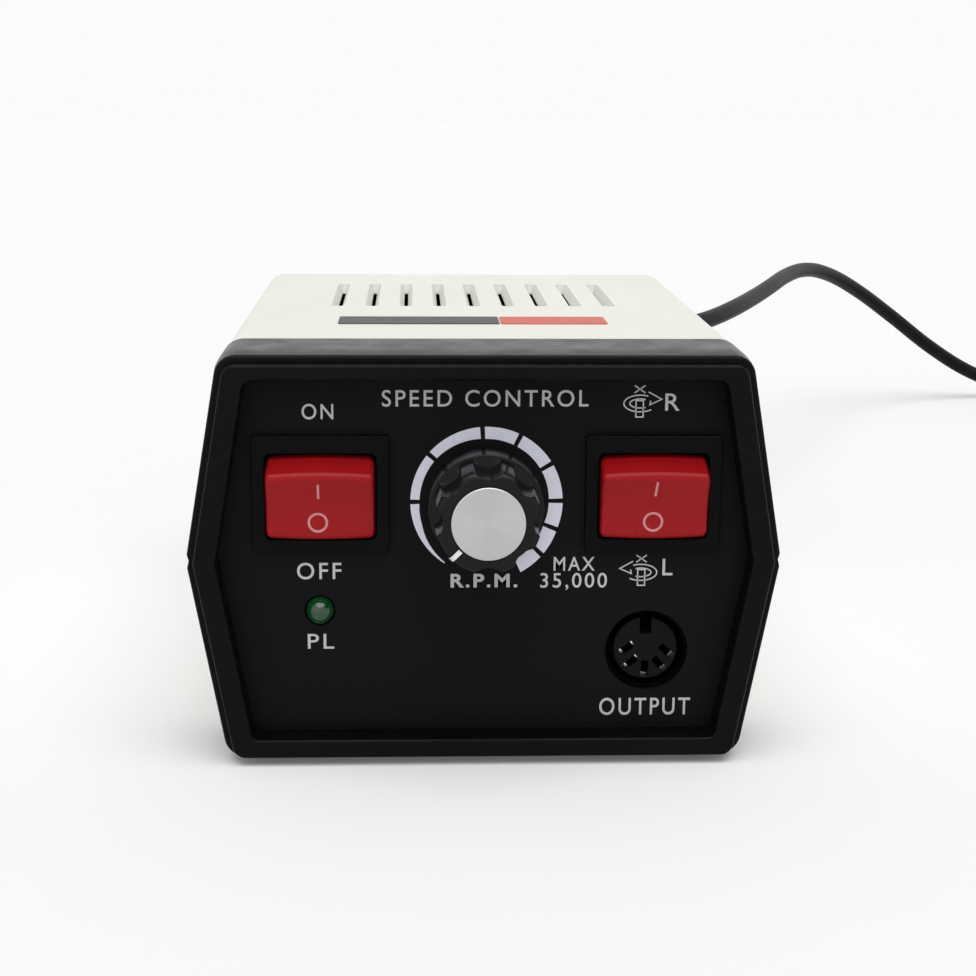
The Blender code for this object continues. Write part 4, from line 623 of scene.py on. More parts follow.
def printed_ink(name, colour):
    """Screen-printed ink: slightly uneven cover, with the plate's grain showing through."""
    finish, tree, shader = new_finish(name, colour, 0.55)
    cover = grain(tree, 0.0009, detail=4.0)
    shaded(tree, shader, cover, colour, 0.86, 1, 1.04)
    roughened(tree, shader, cover, 0.48, 0.62)
    bumped(tree, shader, (cover, 0.00001))
    return finish


def gloss_plastic(name, colour, roughness, **sockets):
    """Polished moulding with a faint orange peel and hairline scuffs."""
    finish, tree, shader = new_finish(name, colour, roughness, **sockets)
    peel = grain(tree, 0.0022, detail=1.0)
    scuff = grain(tree, 0.0005, detail=5.0, stretch=(1, 1, 0.25))
    tint = grain(tree, 0.009, detail=3.0)
    shaded(tree, shader, tint, colour, 0.90, 1, 1.06)
    roughened(tree, shader, scuff, roughness - 0.03, roughness + 0.07)
    bumped(tree, shader, (peel, 0.00002), (scuff, 0.000003))
    return finish


def around_y(tree, centre):
    """The angle and the radius of a point about the line through centre along Y."""
    parts = add_node(tree, "ShaderNodeSeparateXYZ", Vector=place_of(tree, centre)).outputs
    x, z = parts["X"], parts["Z"]
    angle = worked_out(tree, "ARCTAN2", z, x)
    squares = [worked_out(tree, "MULTIPLY", part, part) for part in (x, z)]
    return angle, worked_out(tree, "SQRT", worked_out(tree, "ADD", *squares))


def polar_noise(tree, polar, stretch, detail):
    """A noise between 0 and 1 over radius and angle, stretched along each."""
    place = add_node(tree, "ShaderNodeMapping", Vector=polar, Scale=stretch).outputs[0]
    return add_node(tree, "ShaderNodeTexNoise", Vector=place, Scale=1.0, Detail=detail).outputs["Fac"]


def spun_metal(name, colour, roughness, centre):
    """Metal faced on a lathe: fine rings round a line along Y that vary its gloss, with soft sectors of
    lighter and darker colour that are a painted sheen.
    """
    finish, tree, shader = new_finish(name, colour, roughness, metallic=1.0, Anisotropic=0.55)
    angle, radius = around_y(tree, centre)
    polar = add_node(tree, "ShaderNodeCombineXYZ", X=radius, Y=angle).outputs[0]
    rings = polar_noise(tree, polar, stretch=(9000, 0.6, 1), detail=2.0)
    painted_sheen_sectors = polar_noise(tree, polar, stretch=(60, 1.6, 1), detail=1.0)
    # Painted sheen: the colour runs lighter and darker in sectors round the cap, standing in for the radial
    # reflections of spun metal
    shaded(tree, shader, painted_sheen_sectors, colour, 0.94, 1, 1.05)
    roughened(tree, shader, rings, roughness - 0.05, roughness + 0.08)
    bumped(tree, shader, (rings, 0.000004))
    tangent = add_node(tree, "ShaderNodeTangent", {"direction_type": "RADIAL", "axis": "Y"})
    tree.links.new(tangent.outputs[0], shader.inputs["Tangent"])
    return finish


def plated_metal(name, colour, roughness):
    """Plated steel or brass: bright, with fine drawing lines and faint dull patches."""
    finish, tree, shader = new_finish(name, colour, roughness, metallic=1.0)
    lines = grain(tree, 0.0004, detail=3.0, stretch=(1, 1, 0.1))
    patch = grain(tree, 0.004, detail=3.0)
    shaded(tree, shader, patch, colour, 0.85, 1, 1.05)
    roughened(tree, shader, patch, roughness - 0.06, roughness + 0.10)
    bumped(tree, shader, (lines, 0.000004))
    return finish


def soft_rubber(name, colour, roughness, shine):
    """Rubber or soft cord sheath: dull, faintly pitted, with dust in the low places."""
    finish, tree, shader = new_finish(name, colour, roughness, Specular_IOR_Level=shine)
    pits = grain(tree, 0.0006, detail=4.0)
    dust = grain(tree, 0.007, detail=4.0)
    shaded(tree, shader, dust, colour, 1, 1.25, 2.0)
    roughened(tree, shader, pits, roughness - 0.05, roughness + 0.08)
    bumped(tree, shader, (pits, 0.00002))
    return finish


def banded(tree, along, scale, distortion):
    """Saw-toothed bands across an axis, slightly wavy."""
    kind = {"wave_type": "BANDS", "bands_direction": along, "wave_profile": "SAW"}
    place = place_of(tree)
    bands = add_node(tree, "ShaderNodeTexWave", kind, Vector=place, Scale=scale, Distortion=distortion)
    return bands.outputs["Fac"]


def laminated_iron(name, colour):
    """Stacked transformer sheets under varnish: thin lines across the stack."""
    finish, tree, shader = new_finish(name, colour, 0.45, metallic=0.7)
    sheets = banded(tree, "Y", scale=320.0, distortion=0.6)
    shaded(tree, shader, sheets, colour, 0.55, 1, 1.25)
    roughened(tree, shader, sheets, 0.38, 0.58)
    bumped(tree, shader, (sheets, 0.00005))
    return finish


def wound_tape(name, colour):
    """Yellow tape wound round a coil former, its overlaps showing as steps."""
    finish, tree, shader = new_finish(name, colour, 0.38)
    laps = banded(tree, "Z", scale=40.0, distortion=0.8)
    creases = grain(tree, 0.003, detail=4.0)
    shaded(tree, shader, creases, colour, 0.8, 1, 1.1)
    roughened(tree, shader, creases, 0.30, 0.50)
    bumped(tree, shader, (laps, 0.00008), (creases, 0.00003))
    return finish


def solder_board(name, colour):
    """Circuit board under green mask, its copper tracks showing lighter beneath."""
    finish, tree, shader = new_finish(name, colour, 0.35)
    tracks = add_node(
        tree,
        "ShaderNodeTexBrick",
        {"offset": 0.37},
        Vector=place_of(tree),
        Scale=180.0,
        Mortar_Size=0.035,
        Mortar_Smooth=0.1,
        Color1=(*shade(colour, 1.0), 1),
        Color2=(*shade(colour, 1.25), 1),
        Mortar=(*shade(colour, 2.4), 1),
    )
    tree.links.new(tracks.outputs["Color"], shader.inputs["Base Color"])
    roughened(tree, shader, grain(tree, 0.002, detail=3.0), 0.28, 0.42)
    bumped(tree, shader, (tracks.outputs["Fac"], 0.00004))
    return finish


def make_finishes(settings):
    """Every finish by a short name. Moulded plastics have a grain of their own size, height and shine."""
    case, panel, switch = settings.case, settings.panel, settings.switch
    dial, fitting = settings.dial, settings.fitting
    finishes = {}
    for key, name, colour, roughness, grain_size, grain_height, shine in (
        ("shell", "cream_shell", case.shell_colour, 0.46, 0.0005, 0.00003, 0.5),
        ("bezel", "black_bezel_plastic", case.bezel_colour, 0.28, 0.0006, 0.00003, 0.08),
        ("plate", "black_plate_film", panel.plate_colour, 0.50, 0.0004, 0.00001, 0.06),
        ("switch", "black_switch_plastic", case.bezel_colour, 0.30, 0.0004, 0.00001, 0.06),
        ("insert", "socket_insulator", fitting.insert_colour, 0.50, 0.0003, 0.00001, 0.07),
        # The socket's shell is painted nearly black with almost no shine: painted shade for the dark ring
        # inside the plate's hole
        ("socket", "socket_shell_painted_shade", (0.001, 0.001, 0.001), 0.50, 0.0004, 0.00001, 0.02),
        ("plug", "plug_moulding", fitting.lead_colour, 0.45, 0.0006, 0.00003, 0.5),
        ("chip", "component_epoxy", (0.02, 0.02, 0.02), 0.50, 0.0003, 0.00002, 0.5),
    ):
        finishes[key] = moulded_plastic(name, colour, roughness, grain_size, grain_height, shine)
    for key, name, colour in (
        ("print", "white_print", panel.print_colour),
        ("scale", "scale_print", panel.scale_colour),
        ("mark", "rocker_mark", switch.mark_colour),
        ("pointer", "pointer_white", (0.86, 0.86, 0.86)),
        ("label_black", "plate_black", (0.045, 0.045, 0.045)),
        ("label_red", "plate_red", (0.64, 0.13, 0.08)),
    ):
        finishes[key] = printed_ink(name, colour)
    for key, name, colour, roughness, sockets in (
        ("rocker", "red_rocker_plastic", switch.rocker_colour, 0.24, {"Specular_IOR_Level": 0.16}),
        ("knob", "black_knob_plastic", dial.knob_colour, 0.20, {"Specular_IOR_Level": 0.20}),
        ("lens", "green_lens", fitting.lens_colour, 0.10, LENS_SOCKETS),
        ("sleeve", "capacitor_sleeve", (0.02, 0.04, 0.14), 0.30, {}),
        ("glass", "fuse_glass", (0.85, 0.90, 0.90), 0.05, {"Transmission_Weight": 0.9}),
    ):
        finishes[key] = gloss_plastic(name, colour, roughness, **sockets)
    for key, name, colour, roughness in (
        ("sink", "milled_aluminium", (0.80, 0.80, 0.81), 0.38),
        ("contact", "plated_brass", (0.86, 0.82, 0.70), 0.22),
        ("brass", "nickel_pins", (0.83, 0.80, 0.72), 0.20),
        ("steel", "zinc_steel", (0.62, 0.62, 0.64), 0.30),
    ):
        finishes[key] = plated_metal(name, colour, roughness)
    finishes["cap"] = spun_metal("spun_aluminium", dial.cap_colour, 0.34, middle("speed_knob"))
    finishes["rubber"] = soft_rubber("foot_rubber", (0.022, 0.022, 0.022), 0.75, 0.4)
    finishes["lead"] = soft_rubber("lead_sheath", fitting.lead_colour, 0.42, 0.08)
    finishes["core"] = laminated_iron("core_laminations", (0.22, 0.22, 0.24))
    finishes["tape"] = wound_tape("winding_tape", (0.70, 0.50, 0.12))
    finishes["board"] = solder_board("green_board", (0.03, 0.17, 0.06))
    return finishes


# Meshes


def mesh_from(bm):
    """A mesh with coincident points joined and its faces turned outwards."""
    bmesh.ops.remove_doubles(bm, verts=bm.verts, dist=HAIR / 300)
    bmesh.ops.recalc_face_normals(bm, faces=bm.faces)
    mesh = bpy.data.meshes.new("piece")
    bm.to_mesh(mesh)
    bm.free()
    return mesh


def skin(rings, around_ring=True, round_rings=False, caps=False):
    """Faces between successive rings of the same number of points."""
    bm = bmesh.new()
    made = [[bm.verts.new(point) for point in ring] for ring in rings]
    pairs = list(zip(made, made[1:]))
    if round_rings:
        pairs.append((made[-1], made[0]))
    count = len(made[0])
    for first, second in pairs:
        for i in range(count if around_ring else count - 1):
            j = (i + 1) % count
            bm.faces.new((first[i], first[j], second[j], second[i]))
    if caps and around_ring:
        bm.faces.new(made[0])
        bm.faces.new(made[-1])
    if caps and not around_ring:
        bm.faces.new([ring[0] for ring in made])
        bm.faces.new([ring[-1] for ring in made])
    return mesh_from(bm)


def turned(profile, centre, towards, steps=TURN_STEPS, shape=None):
    """Pairs of radius and height, turned about an axis through centre; a radius of zero closes an end."""
    turn = Vector(towards).to_track_quat("Z", "Y").to_matrix().to_4x4()
    bm = bmesh.new()
    rings = []
    for radius, height in profile:
        if radius <= 0:
            rings.append([bm.verts.new((0, 0, height))])
            continue
        ring = []
        for i in range(steps):
            angle = math.tau * i / steps
            here = shape(radius, height, angle) if shape else radius
            ring.append(bm.verts.new((here * math.cos(angle), here * math.sin(angle), height)))
        rings.append(ring)
    for first, second in zip(rings, rings[1:]):
        for i in range(steps):
            j = (i + 1) % steps
            near, far = len(first), len(second)
            corners = (first[i % near], first[j % near], second[j % far], second[i % far])
            corners = list(dict.fromkeys(corners))
            if len(corners) > 2:
                bm.faces.new(corners)
    mesh = mesh_from(bm)
    mesh.transform(Matrix.Translation(centre) @ turn)
    return mesh


def eased(profile, radius, steps=4):
    """The same open profile with its inner corners rounded."""
    out = [profile[0]]
    for before, corner, after in zip(profile, profile[1:], profile[2:]):
        here = Vector(corner)
        back, on = Vector(before) - here, Vector(after) - here
        reach = min(radius, back.length * 0.45, on.length * 0.45)
        if back.length == 0 or on.length == 0 or abs(back.angle(on) - math.pi) < 0.2:
            out.append(corner)
            continue
        first, last = here + back.normalized() * reach, here + on.normalized() * reach
        for step in range(steps + 1):
            t = step / steps
            out.append(tuple(first * (1 - t) ** 2 + here * 2 * t * (1 - t) + last * t**2))
    out.append(profile[-1])
    return out


def rounded(corners, radii, steps=CURVE_STEPS):
    """The closed outline through these corners, each rounded to its radius."""
    outline = []
    for i, corner in enumerate(corners):
        here = Vector(corner)
        back = (Vector(corners[i - 1]) - here).normalized()
        on = (Vector(corners[(i + 1) % len(corners)]) - here).normalized()
        radius = radii[i] if isinstance(radii, (list, tuple)) else radii
        if radius <= 0:
            outline.append(tuple(here))
            continue
        half = back.angle(on) / 2
        centre = here + (back + on).normalized() * radius / math.sin(half)
        first = here + back * radius / math.tan(half) - centre
        last = here + on * radius / math.tan(half) - centre
        start = math.atan2(first.y, first.x)
        sweep = (math.atan2(last.y, last.x) - start + math.pi) % math.tau - math.pi
        for step in range(steps + 1):
            angle = start + sweep * step / steps
            outline.append((centre.x + radius * math.cos(angle), centre.y + radius * math.sin(angle)))
    return outline


def rectangle(centre, width, height, radius=0, steps=ROUND_STEPS):
    x, z = centre
    right, top = x + width / 2, z + height / 2
    left, bottom = x - width / 2, z - height / 2
    return rounded(((right, top), (left, top), (left, bottom), (right, bottom)), radius, steps)


def circle(centre, radius, steps=TURN_STEPS):
    x, z = centre
    turns = [math.tau * i / steps for i in range(steps)]
    return [(x + radius * math.cos(turn), z + radius * math.sin(turn)) for turn in turns]


ALONG = {
    "X": Matrix(((0, 0, 1, 0), (1, 0, 0, 0), (0, 1, 0, 0), (0, 0, 0, 1))),
    "Y": Matrix(((1, 0, 0, 0), (0, 0, 1, 0), (0, 1, 0, 0), (0, 0, 0, 1))),
    "Z": Matrix.Identity(4),
}


def prism(outlines, low, high, along):
    """Flat outlines, the second and later ones being holes, drawn out from low to high along an axis."""
    curve = bpy.data.curves.new("outline", "CURVE")
    curve.dimensions = "2D"
    curve.fill_mode = "BOTH"
    curve.extrude = (high - low) / 2
    for outline in outlines:
        spline = curve.splines.new("POLY")
        spline.points.add(len(outline) - 1)
        for point, place in zip(spline.points, outline):
            point.co = (*place, 0, 1)
        spline.use_cyclic_u = True
    mesh = evaluated(bpy.data.objects.new("outline", curve))
    bm = bmesh.new()
    bm.from_mesh(mesh)
    bmesh.ops.transform(bm, matrix=Matrix.Translation((0, 0, (low + high) / 2)), verts=bm.verts)
    bmesh.ops.transform(bm, matrix=ALONG[along], verts=bm.verts)
    bmesh.ops.dissolve_limit(bm, angle_limit=math.radians(0.5), verts=bm.verts, edges=bm.edges)
    return mesh_from(bm)


def evaluated(holder):
    """The mesh that an object shows with its modifiers; the object itself is removed."""
    bpy.context.scene.collection.objects.link(holder)
    bpy.context.view_layer.update()
    graph = bpy.context.evaluated_depsgraph_get()
    mesh = bpy.data.meshes.new_from_object(holder.evaluated_get(graph))
    bpy.data.objects.remove(holder)
    return mesh


def carved(mesh, tools, operation="DIFFERENCE"):
    """The mesh with these other meshes cut from it or joined to it."""
    holder = bpy.data.objects.new("carved", mesh)
    helpers = []
    for tool in tools:
        helper = bpy.data.objects.new("tool", tool)
        bpy.context.scene.collection.objects.link(helper)
        helpers.append(helper)
        modifier = holder.modifiers.new("carve", "BOOLEAN")
        modifier.operation = operation
        modifier.solver = "EXACT"
        modifier.use_self = True
        modifier.object = helper
    made = evaluated(holder)
    for helper in helpers:
        bpy.data.objects.remove(helper)
    return made


def joined(*meshes):
    """Several meshes as one, lying loose in it."""
    bm = bmesh.new()
    for mesh in meshes:
        bm.from_mesh(mesh)
    made = bpy.data.meshes.new("piece")
    bm.to_mesh(made)
    bm.free()
    return made


def box(low, high):
    """A block between two corners."""
    (x0, y0, z0), (x1, y1, z1) = low, high
    rings = [[(x0, y, z0), (x1, y, z0), (x1, y, z1), (x0, y, z1)] for y in (y0, y1)]
    return skin(rings, caps=True)


def rod(radius, start, end, steps):
    start, end = Vector(start), Vector(end)
    length = (end - start).length
    return turned(((0, 0), (radius, 0), (radius, length), (0, length)), start, end - start, steps)


def tube(points, radius, sides=20):
    """A round tube along these points, its rings turned as little as can be."""
    points = [Vector(point) for point in points]
    ways = [(after - before).normalized() for before, after in zip(points, points[1:])]
    ways = [ways[0], *[(a + b).normalized() for a, b in zip(ways, ways[1:])], ways[-1]]
    across = ways[0].orthogonal().normalized()
    rings = []
    for point, way in zip(points, ways):
        across = (across - way * across.dot(way)).normalized()
        up = way.cross(across)
        turns = [math.tau * i / sides for i in range(sides)]
        rings.append([point + (across * math.cos(turn) + up * math.sin(turn)) * radius for turn in turns])
    return skin(rings, caps=True)


def show(name, mesh, finish, body="case", stands_for=(), bevel=0, angle=35):
    """A piece of the object: its mesh, finish and edges, riding on a body, in place of these CAD nodes."""
    mesh.name = name
    obj = bpy.data.objects.new(name, mesh)
    bpy.context.scene.collection.objects.link(obj)
    mesh.materials.clear()
    mesh.materials.append(finish)
    mesh.shade_smooth()
    if bevel:
        edges = obj.modifiers.new("edges", "BEVEL")
        edges.width = bevel
        edges.segments = 3
        edges.limit_method = "ANGLE"
        edges.angle_limit = math.radians(angle)
        edges.harden_normals = True
    else:
        mesh.set_sharp_from_angle(angle=math.radians(angle))
    even = obj.modifiers.new("even_shading", "WEIGHTED_NORMAL")
    even.keep_sharp = True
    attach(obj, body)
    if stands_for:
        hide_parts(*stands_for)
    return obj


# The case's outlines


def case_outline(half_width, low, high, top_corner, bottom_corner, notch=0):
    """The six-sided outline, with a V notch of this half height at each end of the parting line."""
    reach = max(notch, HAIR)
    apex = half_width if notch <= HAIR else HALF_WIDTH - NOTCH_DEPTH
    upper_lip = half_width - UPPER_LEAN_SHARE * reach
    lower_lip = half_width - LEAN_SHARE * reach
    top = half_width - UPPER_LEAN_SHARE * (high - PARTING_Z)
    bottom = half_width - LEAN_SHARE * (PARTING_Z - low)
    corners = (
        (apex, PARTING_Z + reach * NOTCH_SKEW),
        (upper_lip, PARTING_Z + reach),
        (top, high),
        (-top, high),
        (-upper_lip, PARTING_Z + reach),
        (-apex, PARTING_Z + reach * NOTCH_SKEW),
        (-lower_lip, PARTING_Z - reach),
        (-bottom, low),
        (bottom, low),
        (lower_lip, PARTING_Z - reach),
    )
    return rounded(corners, (0, 0, top_corner, top_corner, 0, 0, 0, bottom_corner, bottom_corner, 0))


def section(inset, notched=False, bottom_share=1.0):
    """The case's outline drawn in by inset, and at the bottom by this share of it."""
    corner = max(CASE_CORNER - inset, CASE_CORNER / 4)
    steepness = NOTCH_DEPTH / NOTCH_HALF - LEAN_SHARE
    reach = (NOTCH_DEPTH - inset * SLANT_SHARE) / (steepness + LEAN_SHARE) if notched else 0
    half_width = HALF_WIDTH - inset * SLANT_SHARE
    low = BOTTOM_Z + inset * bottom_share
    return case_outline(half_width, low, TOP_Z - inset, corner, corner, max(reach, 0))


def opening(inset):
    """The outline of the bezel's recess, drawn in by inset."""
    half_width = HALF_WIDTH - (RIM_SIDE + inset) * SLANT_SHARE
    low, high = BOTTOM_Z + RIM_BOTTOM + inset, TOP_Z - RIM_TOP - inset
    top_corner = max(RIM_TOP_CORNER - inset, RIM_BOTTOM_CORNER / 2)
    return case_outline(half_width, low, high, top_corner, max(RIM_BOTTOM_CORNER - inset, GAP))


def at_depth(outline, y):
    return [(x, y, z) for x, z in outline]


def quarter(steps):
    """Pairs that run round a quarter circle from (0, 1) to (1, 0)."""
    angles = [math.pi / 2 * step / steps for step in range(steps + 1)]
    return [(math.sin(angle), math.cos(angle)) for angle in angles]


# Where the CAD nodes are


def middle(node):
    low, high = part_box(node)
    return (low + high) / 2


def axis_at(node, y):
    """The point at this depth on the line through a node's middle from front to back."""
    low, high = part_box(node)
    return Vector(((low.x + high.x) / 2, y, (low.z + high.z) / 2))


def switch_place(prefix):
    """The middle of the switch, at the depth of its pivot."""
    node = prefix + "_switch_body"
    return axis_at(node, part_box(node)[0].y + PIVOT_DEPTH)


def round_hole(node, radius, steps=HOLE_STEPS):
    """The outline of a round hole for this node."""
    place = middle(node)
    return circle((place.x, place.z), radius, steps)


def control_holes():
    """The outlines of the holes for the switches, the dial, the lamp and the socket."""
    width, height = SWITCH_BODY_WIDTH + 2 * GAP, SWITCH_BODY_HEIGHT + 2 * GAP
    holes = [rectangle((place.x, place.z), width, height) for place in map(switch_place, SWITCHES)]
    holes.append(round_hole("dial_nut", BUSH_RADIUS + GAP))
    holes.append(round_hole("pilot_lens", LAMP_RADIUS + GAP))
    holes.append(round_hole("output_socket_insert", SOCKET_HOLE_RADIUS, TURN_STEPS))
    return holes


# The front


def nose_profile():
    """Pairs of inset and depth from the front face over the step round it and on to the bezel's side."""
    pairs = []
    for across, along in quarter(ROUND_STEPS):
        pairs.append((FACE_INSET + FACE_ROUND * (1 - across), FACE_ROUND * (1 - along)))
    pairs.append((FACE_INSET - STEP_LEAN, STEP_DEPTH))
    for across, along in quarter(ROUND_STEPS):
        pairs.append((NOSE_CROWN + NOSE_ROUND * (1 - across), STEP_DEPTH + NOSE_ROUND * (1 - along)))
    start = STEP_DEPTH + NOSE_ROUND
    for step in range(1, CURVE_STEPS + 1):
        share = step / CURVE_STEPS
        pairs.append((NOSE_CROWN * (1 - share) ** 2, start + (NOSE_LENGTH - start) * share))
    return pairs


def build_bezel(settings, finishes):
    """The black frame: a stepped nose, a deep recess, the ledge round the plate and the spigot behind."""
    rim = settings.case.rim_round
    ledge = opening(PANEL_MARGIN - GAP)
    spigot_outer = section(COVER_INNER + GAP)
    spigot_inner = section(COVER_INNER + GAP + SPIGOT_WALL)
    spigot_end_y = BEZEL_REAR_Y + SPIGOT_LENGTH
    rings = [
        at_depth(ledge, PANEL_BACK_Y + GAP),
        at_depth(ledge, PANEL_FACE_Y + FINE_ROUND),
        at_depth(opening(PANEL_MARGIN - GAP - FINE_ROUND), PANEL_FACE_Y),
        at_depth(opening(0), PANEL_FACE_Y),
    ]
    for across, along in quarter(ROUND_STEPS):
        rings.append(at_depth(opening(-rim * (1 - along)), LIP + rim * (1 - across)))
    for inset, depth in nose_profile():
        rings.append(at_depth(section(inset, True, NOSE_BOTTOM_SHARE), LIP + depth))
    rings += [
        at_depth(section(0, True), BEZEL_REAR_Y - SMALL_ROUND),
        at_depth(section(SMALL_ROUND, True), BEZEL_REAR_Y),
        at_depth(spigot_outer, BEZEL_REAR_Y),
        at_depth(spigot_outer, spigot_end_y),
        at_depth(spigot_inner, spigot_end_y),
        at_depth(spigot_inner, BACKING_Y + GAP),
        at_depth(ledge, BACKING_Y + GAP),
    ]
    outlines = [opening(PANEL_MARGIN - 2 * GAP), *control_holes()]
    backing = prism(outlines, PANEL_BACK_Y + GAP, BACKING_Y, "Y")
    bezel = joined(skin(rings, round_rings=True), backing)
    show("bezel", bezel, finishes["bezel"], stands_for=("front_bezel",), angle=30)


def build_front_plate(settings, finishes):
    """The matte black plate in the recess and all that is printed on it."""
    holes = control_holes()
    plate = prism([opening(PANEL_MARGIN), *holes], PANEL_FACE_Y, PANEL_BACK_Y, "Y")
    film = prism([opening(GAP / 2), *holes], PANEL_FACE_Y - FILM_THICKNESS, PANEL_FACE_Y - HAIR / 3, "Y")
    show("front_plate", joined(plate, film), finishes["plate"], "case", ("front_panel",))
    for words, *edges in PANEL_WORDS:
        name = "word_" + "".join(letter for letter in words.lower() if letter.isalnum())
        show(name, lettering(words, *edges), finishes["print"])
    for name, mirror, z in (("icon_right", 1, ICON_HIGH_Z), ("icon_left", -1, ICON_LOW_Z)):
        show(name, turning_icon(ICON_X, z, mirror), finishes["print"])
    show("dial_scale", printed_scale(), finishes["scale"])


def lettering(words, left, right, low, high):
    """Words in a plain face, fitted between these edges and lying on the front plate."""
    curve = bpy.data.curves.new(words, "FONT")
    curve.body = words
    curve.offset = BOLD_WEIGHT if words in BOLD_WORDS else WORD_WEIGHT
    curve.space_character = WORD_TRACKING
    curve.extrude = WORD_DEPTH
    curve.resolution_u = ROUND_STEPS
    mesh = evaluated(bpy.data.objects.new("words", curve))
    xs = [vert.co.x for vert in mesh.vertices]
    ys = [vert.co.y for vert in mesh.vertices]
    wide, tall = (right - left) / (max(xs) - min(xs)), (high - low) / (max(ys) - min(ys))
    for vert in mesh.vertices:
        x, y, z = vert.co
        depth = PRINT_Y if z > 0 else PANEL_FACE_Y
        vert.co = (left + (x - min(xs)) * wide, depth, low + (y - min(ys)) * tall)
    bm = bmesh.new()
    bm.from_mesh(mesh)
    return mesh_from(bm)


def neighbours(points, closed):
    """Each point between the one before and the one after, which at an open end is the point itself."""
    points = [Vector(point) for point in points]
    count = len(points)
    for i, point in enumerate(points):
        before = points[i - 1] if closed or i else point
        after = points[(i + 1) % count] if closed or i < count - 1 else point
        yield before, point, after


def stroke(points, width, closed):
    """A printed line of this width through points on the front plate, as one thin ribbon."""
    rings = []
    for before, point, after in neighbours(points, closed):
        into, out = (point - before).normalized(), (after - point).normalized()
        way = (into + out).normalized() if into.length and out.length else (into if into.length else out)
        side = Vector((-way.y, way.x)) * width / 2
        if into.length and out.length:
            side /= max(0.5, math.sqrt((1 + into.dot(out)) / 2))
        a, b = point + side, point - side
        near, far = PRINT_Y, PANEL_FACE_Y
        rings.append([(a.x, near, a.y), (b.x, near, b.y), (b.x, far, b.y), (a.x, far, a.y)])
    return skin(rings, round_rings=closed, caps=not closed)


def turning_icon(x, z, mirror):
    """A tool shaft with an outlined arrow going round it, for the direction of turning."""
    half_x, half_z = ICON_WIDTH / 2, ICON_HEIGHT / 2

    def at(across, up):
        return (x + mirror * across * half_x, z + up * half_z)

    def arc(wide, tall, start, end):
        angles = [math.radians(start + (end - start) * step / ICON_STEPS) for step in range(ICON_STEPS + 1)]
        return [at(-0.12 + wide * math.cos(angle), -0.16 + tall * math.sin(angle)) for angle in angles]

    lines = [
        (arc(0.86, 0.52, 62, 312), False),
        (arc(0.55, 0.28, 60, 300), False),
        ([at(0.30, 0.56), at(1.0, 0.10), at(0.38, -0.24), at(0.42, 0.02)], False),
        ([at(-0.34, 0.02), at(0.04, 0.02), at(0.04, -1.0), at(-0.34, -1.0)], True),
        ([at(-0.43, 0.50), at(0.13, 0.96)], False),
        ([at(-0.43, 0.96), at(0.13, 0.50)], False),
    ]
    return joined(*[stroke(points, ICON_STROKE, closed) for points, closed in lines])


def scale_thickness(angle):
    """The scale's thickness at this angle in degrees, from the table of them."""
    for (before, thick), (after, thicker) in zip(SCALE_THICKNESS, SCALE_THICKNESS[1:]):
        if angle >= after:
            share = min(1, max(0, (before - angle) / (before - after)))
            return thick + (thicker - thick) * share
    return SCALE_THICKNESS[-1][1]


def printed_scale():
    """Arc segments round the dial that grow thicker clockwise."""
    segments = []
    first, last = SCALE_MARKS[0], SCALE_MARKS[-1]
    trim = SCALE_GAP / 2 / SCALE_RADIUS
    for start, end in zip(SCALE_MARKS, SCALE_MARKS[1:]):
        begin = start - (trim if start != first else 0)
        close = end + (trim if end != last else 0)
        steps = max(4, round((begin - close) / SCALE_STEP))
        rings = []
        for step in range(steps + 1):
            angle = begin + (close - begin) * step / steps
            thick = scale_thickness(math.degrees(angle))
            swell = max(0, (SCALE_SWELL_START - angle) / (SCALE_SWELL_START - last))
            outer = SCALE_RADIUS + SCALE_SWELL * swell
            inner = outer - thick
            corners = ((outer, PRINT_Y), (inner, PRINT_Y), (inner, PANEL_FACE_Y), (outer, PANEL_FACE_Y))
            cosine, sine = math.cos(angle), math.sin(angle)
            rings.append([(SCALE_X + radius * cosine, y, SCALE_Z + radius * sine) for radius, y in corners])
        segments.append(skin(rings, caps=True))
    return joined(*segments)


# The case


def half_outline(inset, upper):
    """One half of the case's outline, from the right end of the parting line to the left one."""
    side = 1 if upper else -1
    plane = PARTING_Z + side * GAP / 2
    width = HALF_WIDTH - inset * SLANT_SHARE - LEAN_SHARE * GAP / 2
    kept = [point for point in section(inset) if side * (point[1] - PARTING_Z) > GAP]
    kept.sort(key=lambda point: math.atan2(side * (point[1] - PARTING_Z), point[0]))
    return [(width, plane), *kept, (-width, plane)]


def half_shell(upper, rear_round):
    """One half of the case as a bent wall with a flange round the back."""
    profile = [(CASE_FRONT_Y + SMALL_ROUND, COVER_INSET)]
    for across, along in quarter(REAR_ROUND_STEPS):
        profile.append((CASE_REAR_Y - rear_round * (1 - across), COVER_INSET + rear_round * (1 - along)))
    profile += [
        (CASE_REAR_Y, COVER_INNER + REAR_FLANGE_REACH),
        (CASE_REAR_Y - REAR_FLANGE_DEPTH, COVER_INNER + REAR_FLANGE_REACH),
        (CASE_REAR_Y - REAR_FLANGE_DEPTH, COVER_INNER),
        (CASE_FRONT_Y, COVER_INNER),
        (CASE_FRONT_Y, COVER_INSET + SMALL_ROUND),
    ]
    rings = [at_depth(half_outline(inset, upper), y) for y, inset in profile]
    return skin(rings, around_ring=False, round_rings=True, caps=True)


def slot_tool(centre, width, length):
    """What cuts one air slot: full width at the top, with sides that slope in to a narrow slit."""
    slit_length = length - (width - SLIT_WIDTH)
    wide = rectangle(centre, width, length, width * SLOT_END_SHARE)
    narrow = rectangle(centre, SLIT_WIDTH, slit_length, SLIT_WIDTH * SLOT_END_SHARE)
    levels = (
        (wide, TOP_Z + GAP),
        (wide, TOP_Z - COVER_INSET - SLOT_LIP),
        (narrow, ROOF_Z + GAP),
        (narrow, ROOF_Z - 2 * GAP),
    )
    return skin([[(x, y, z) for x, y in outline] for outline, z in levels], caps=True)


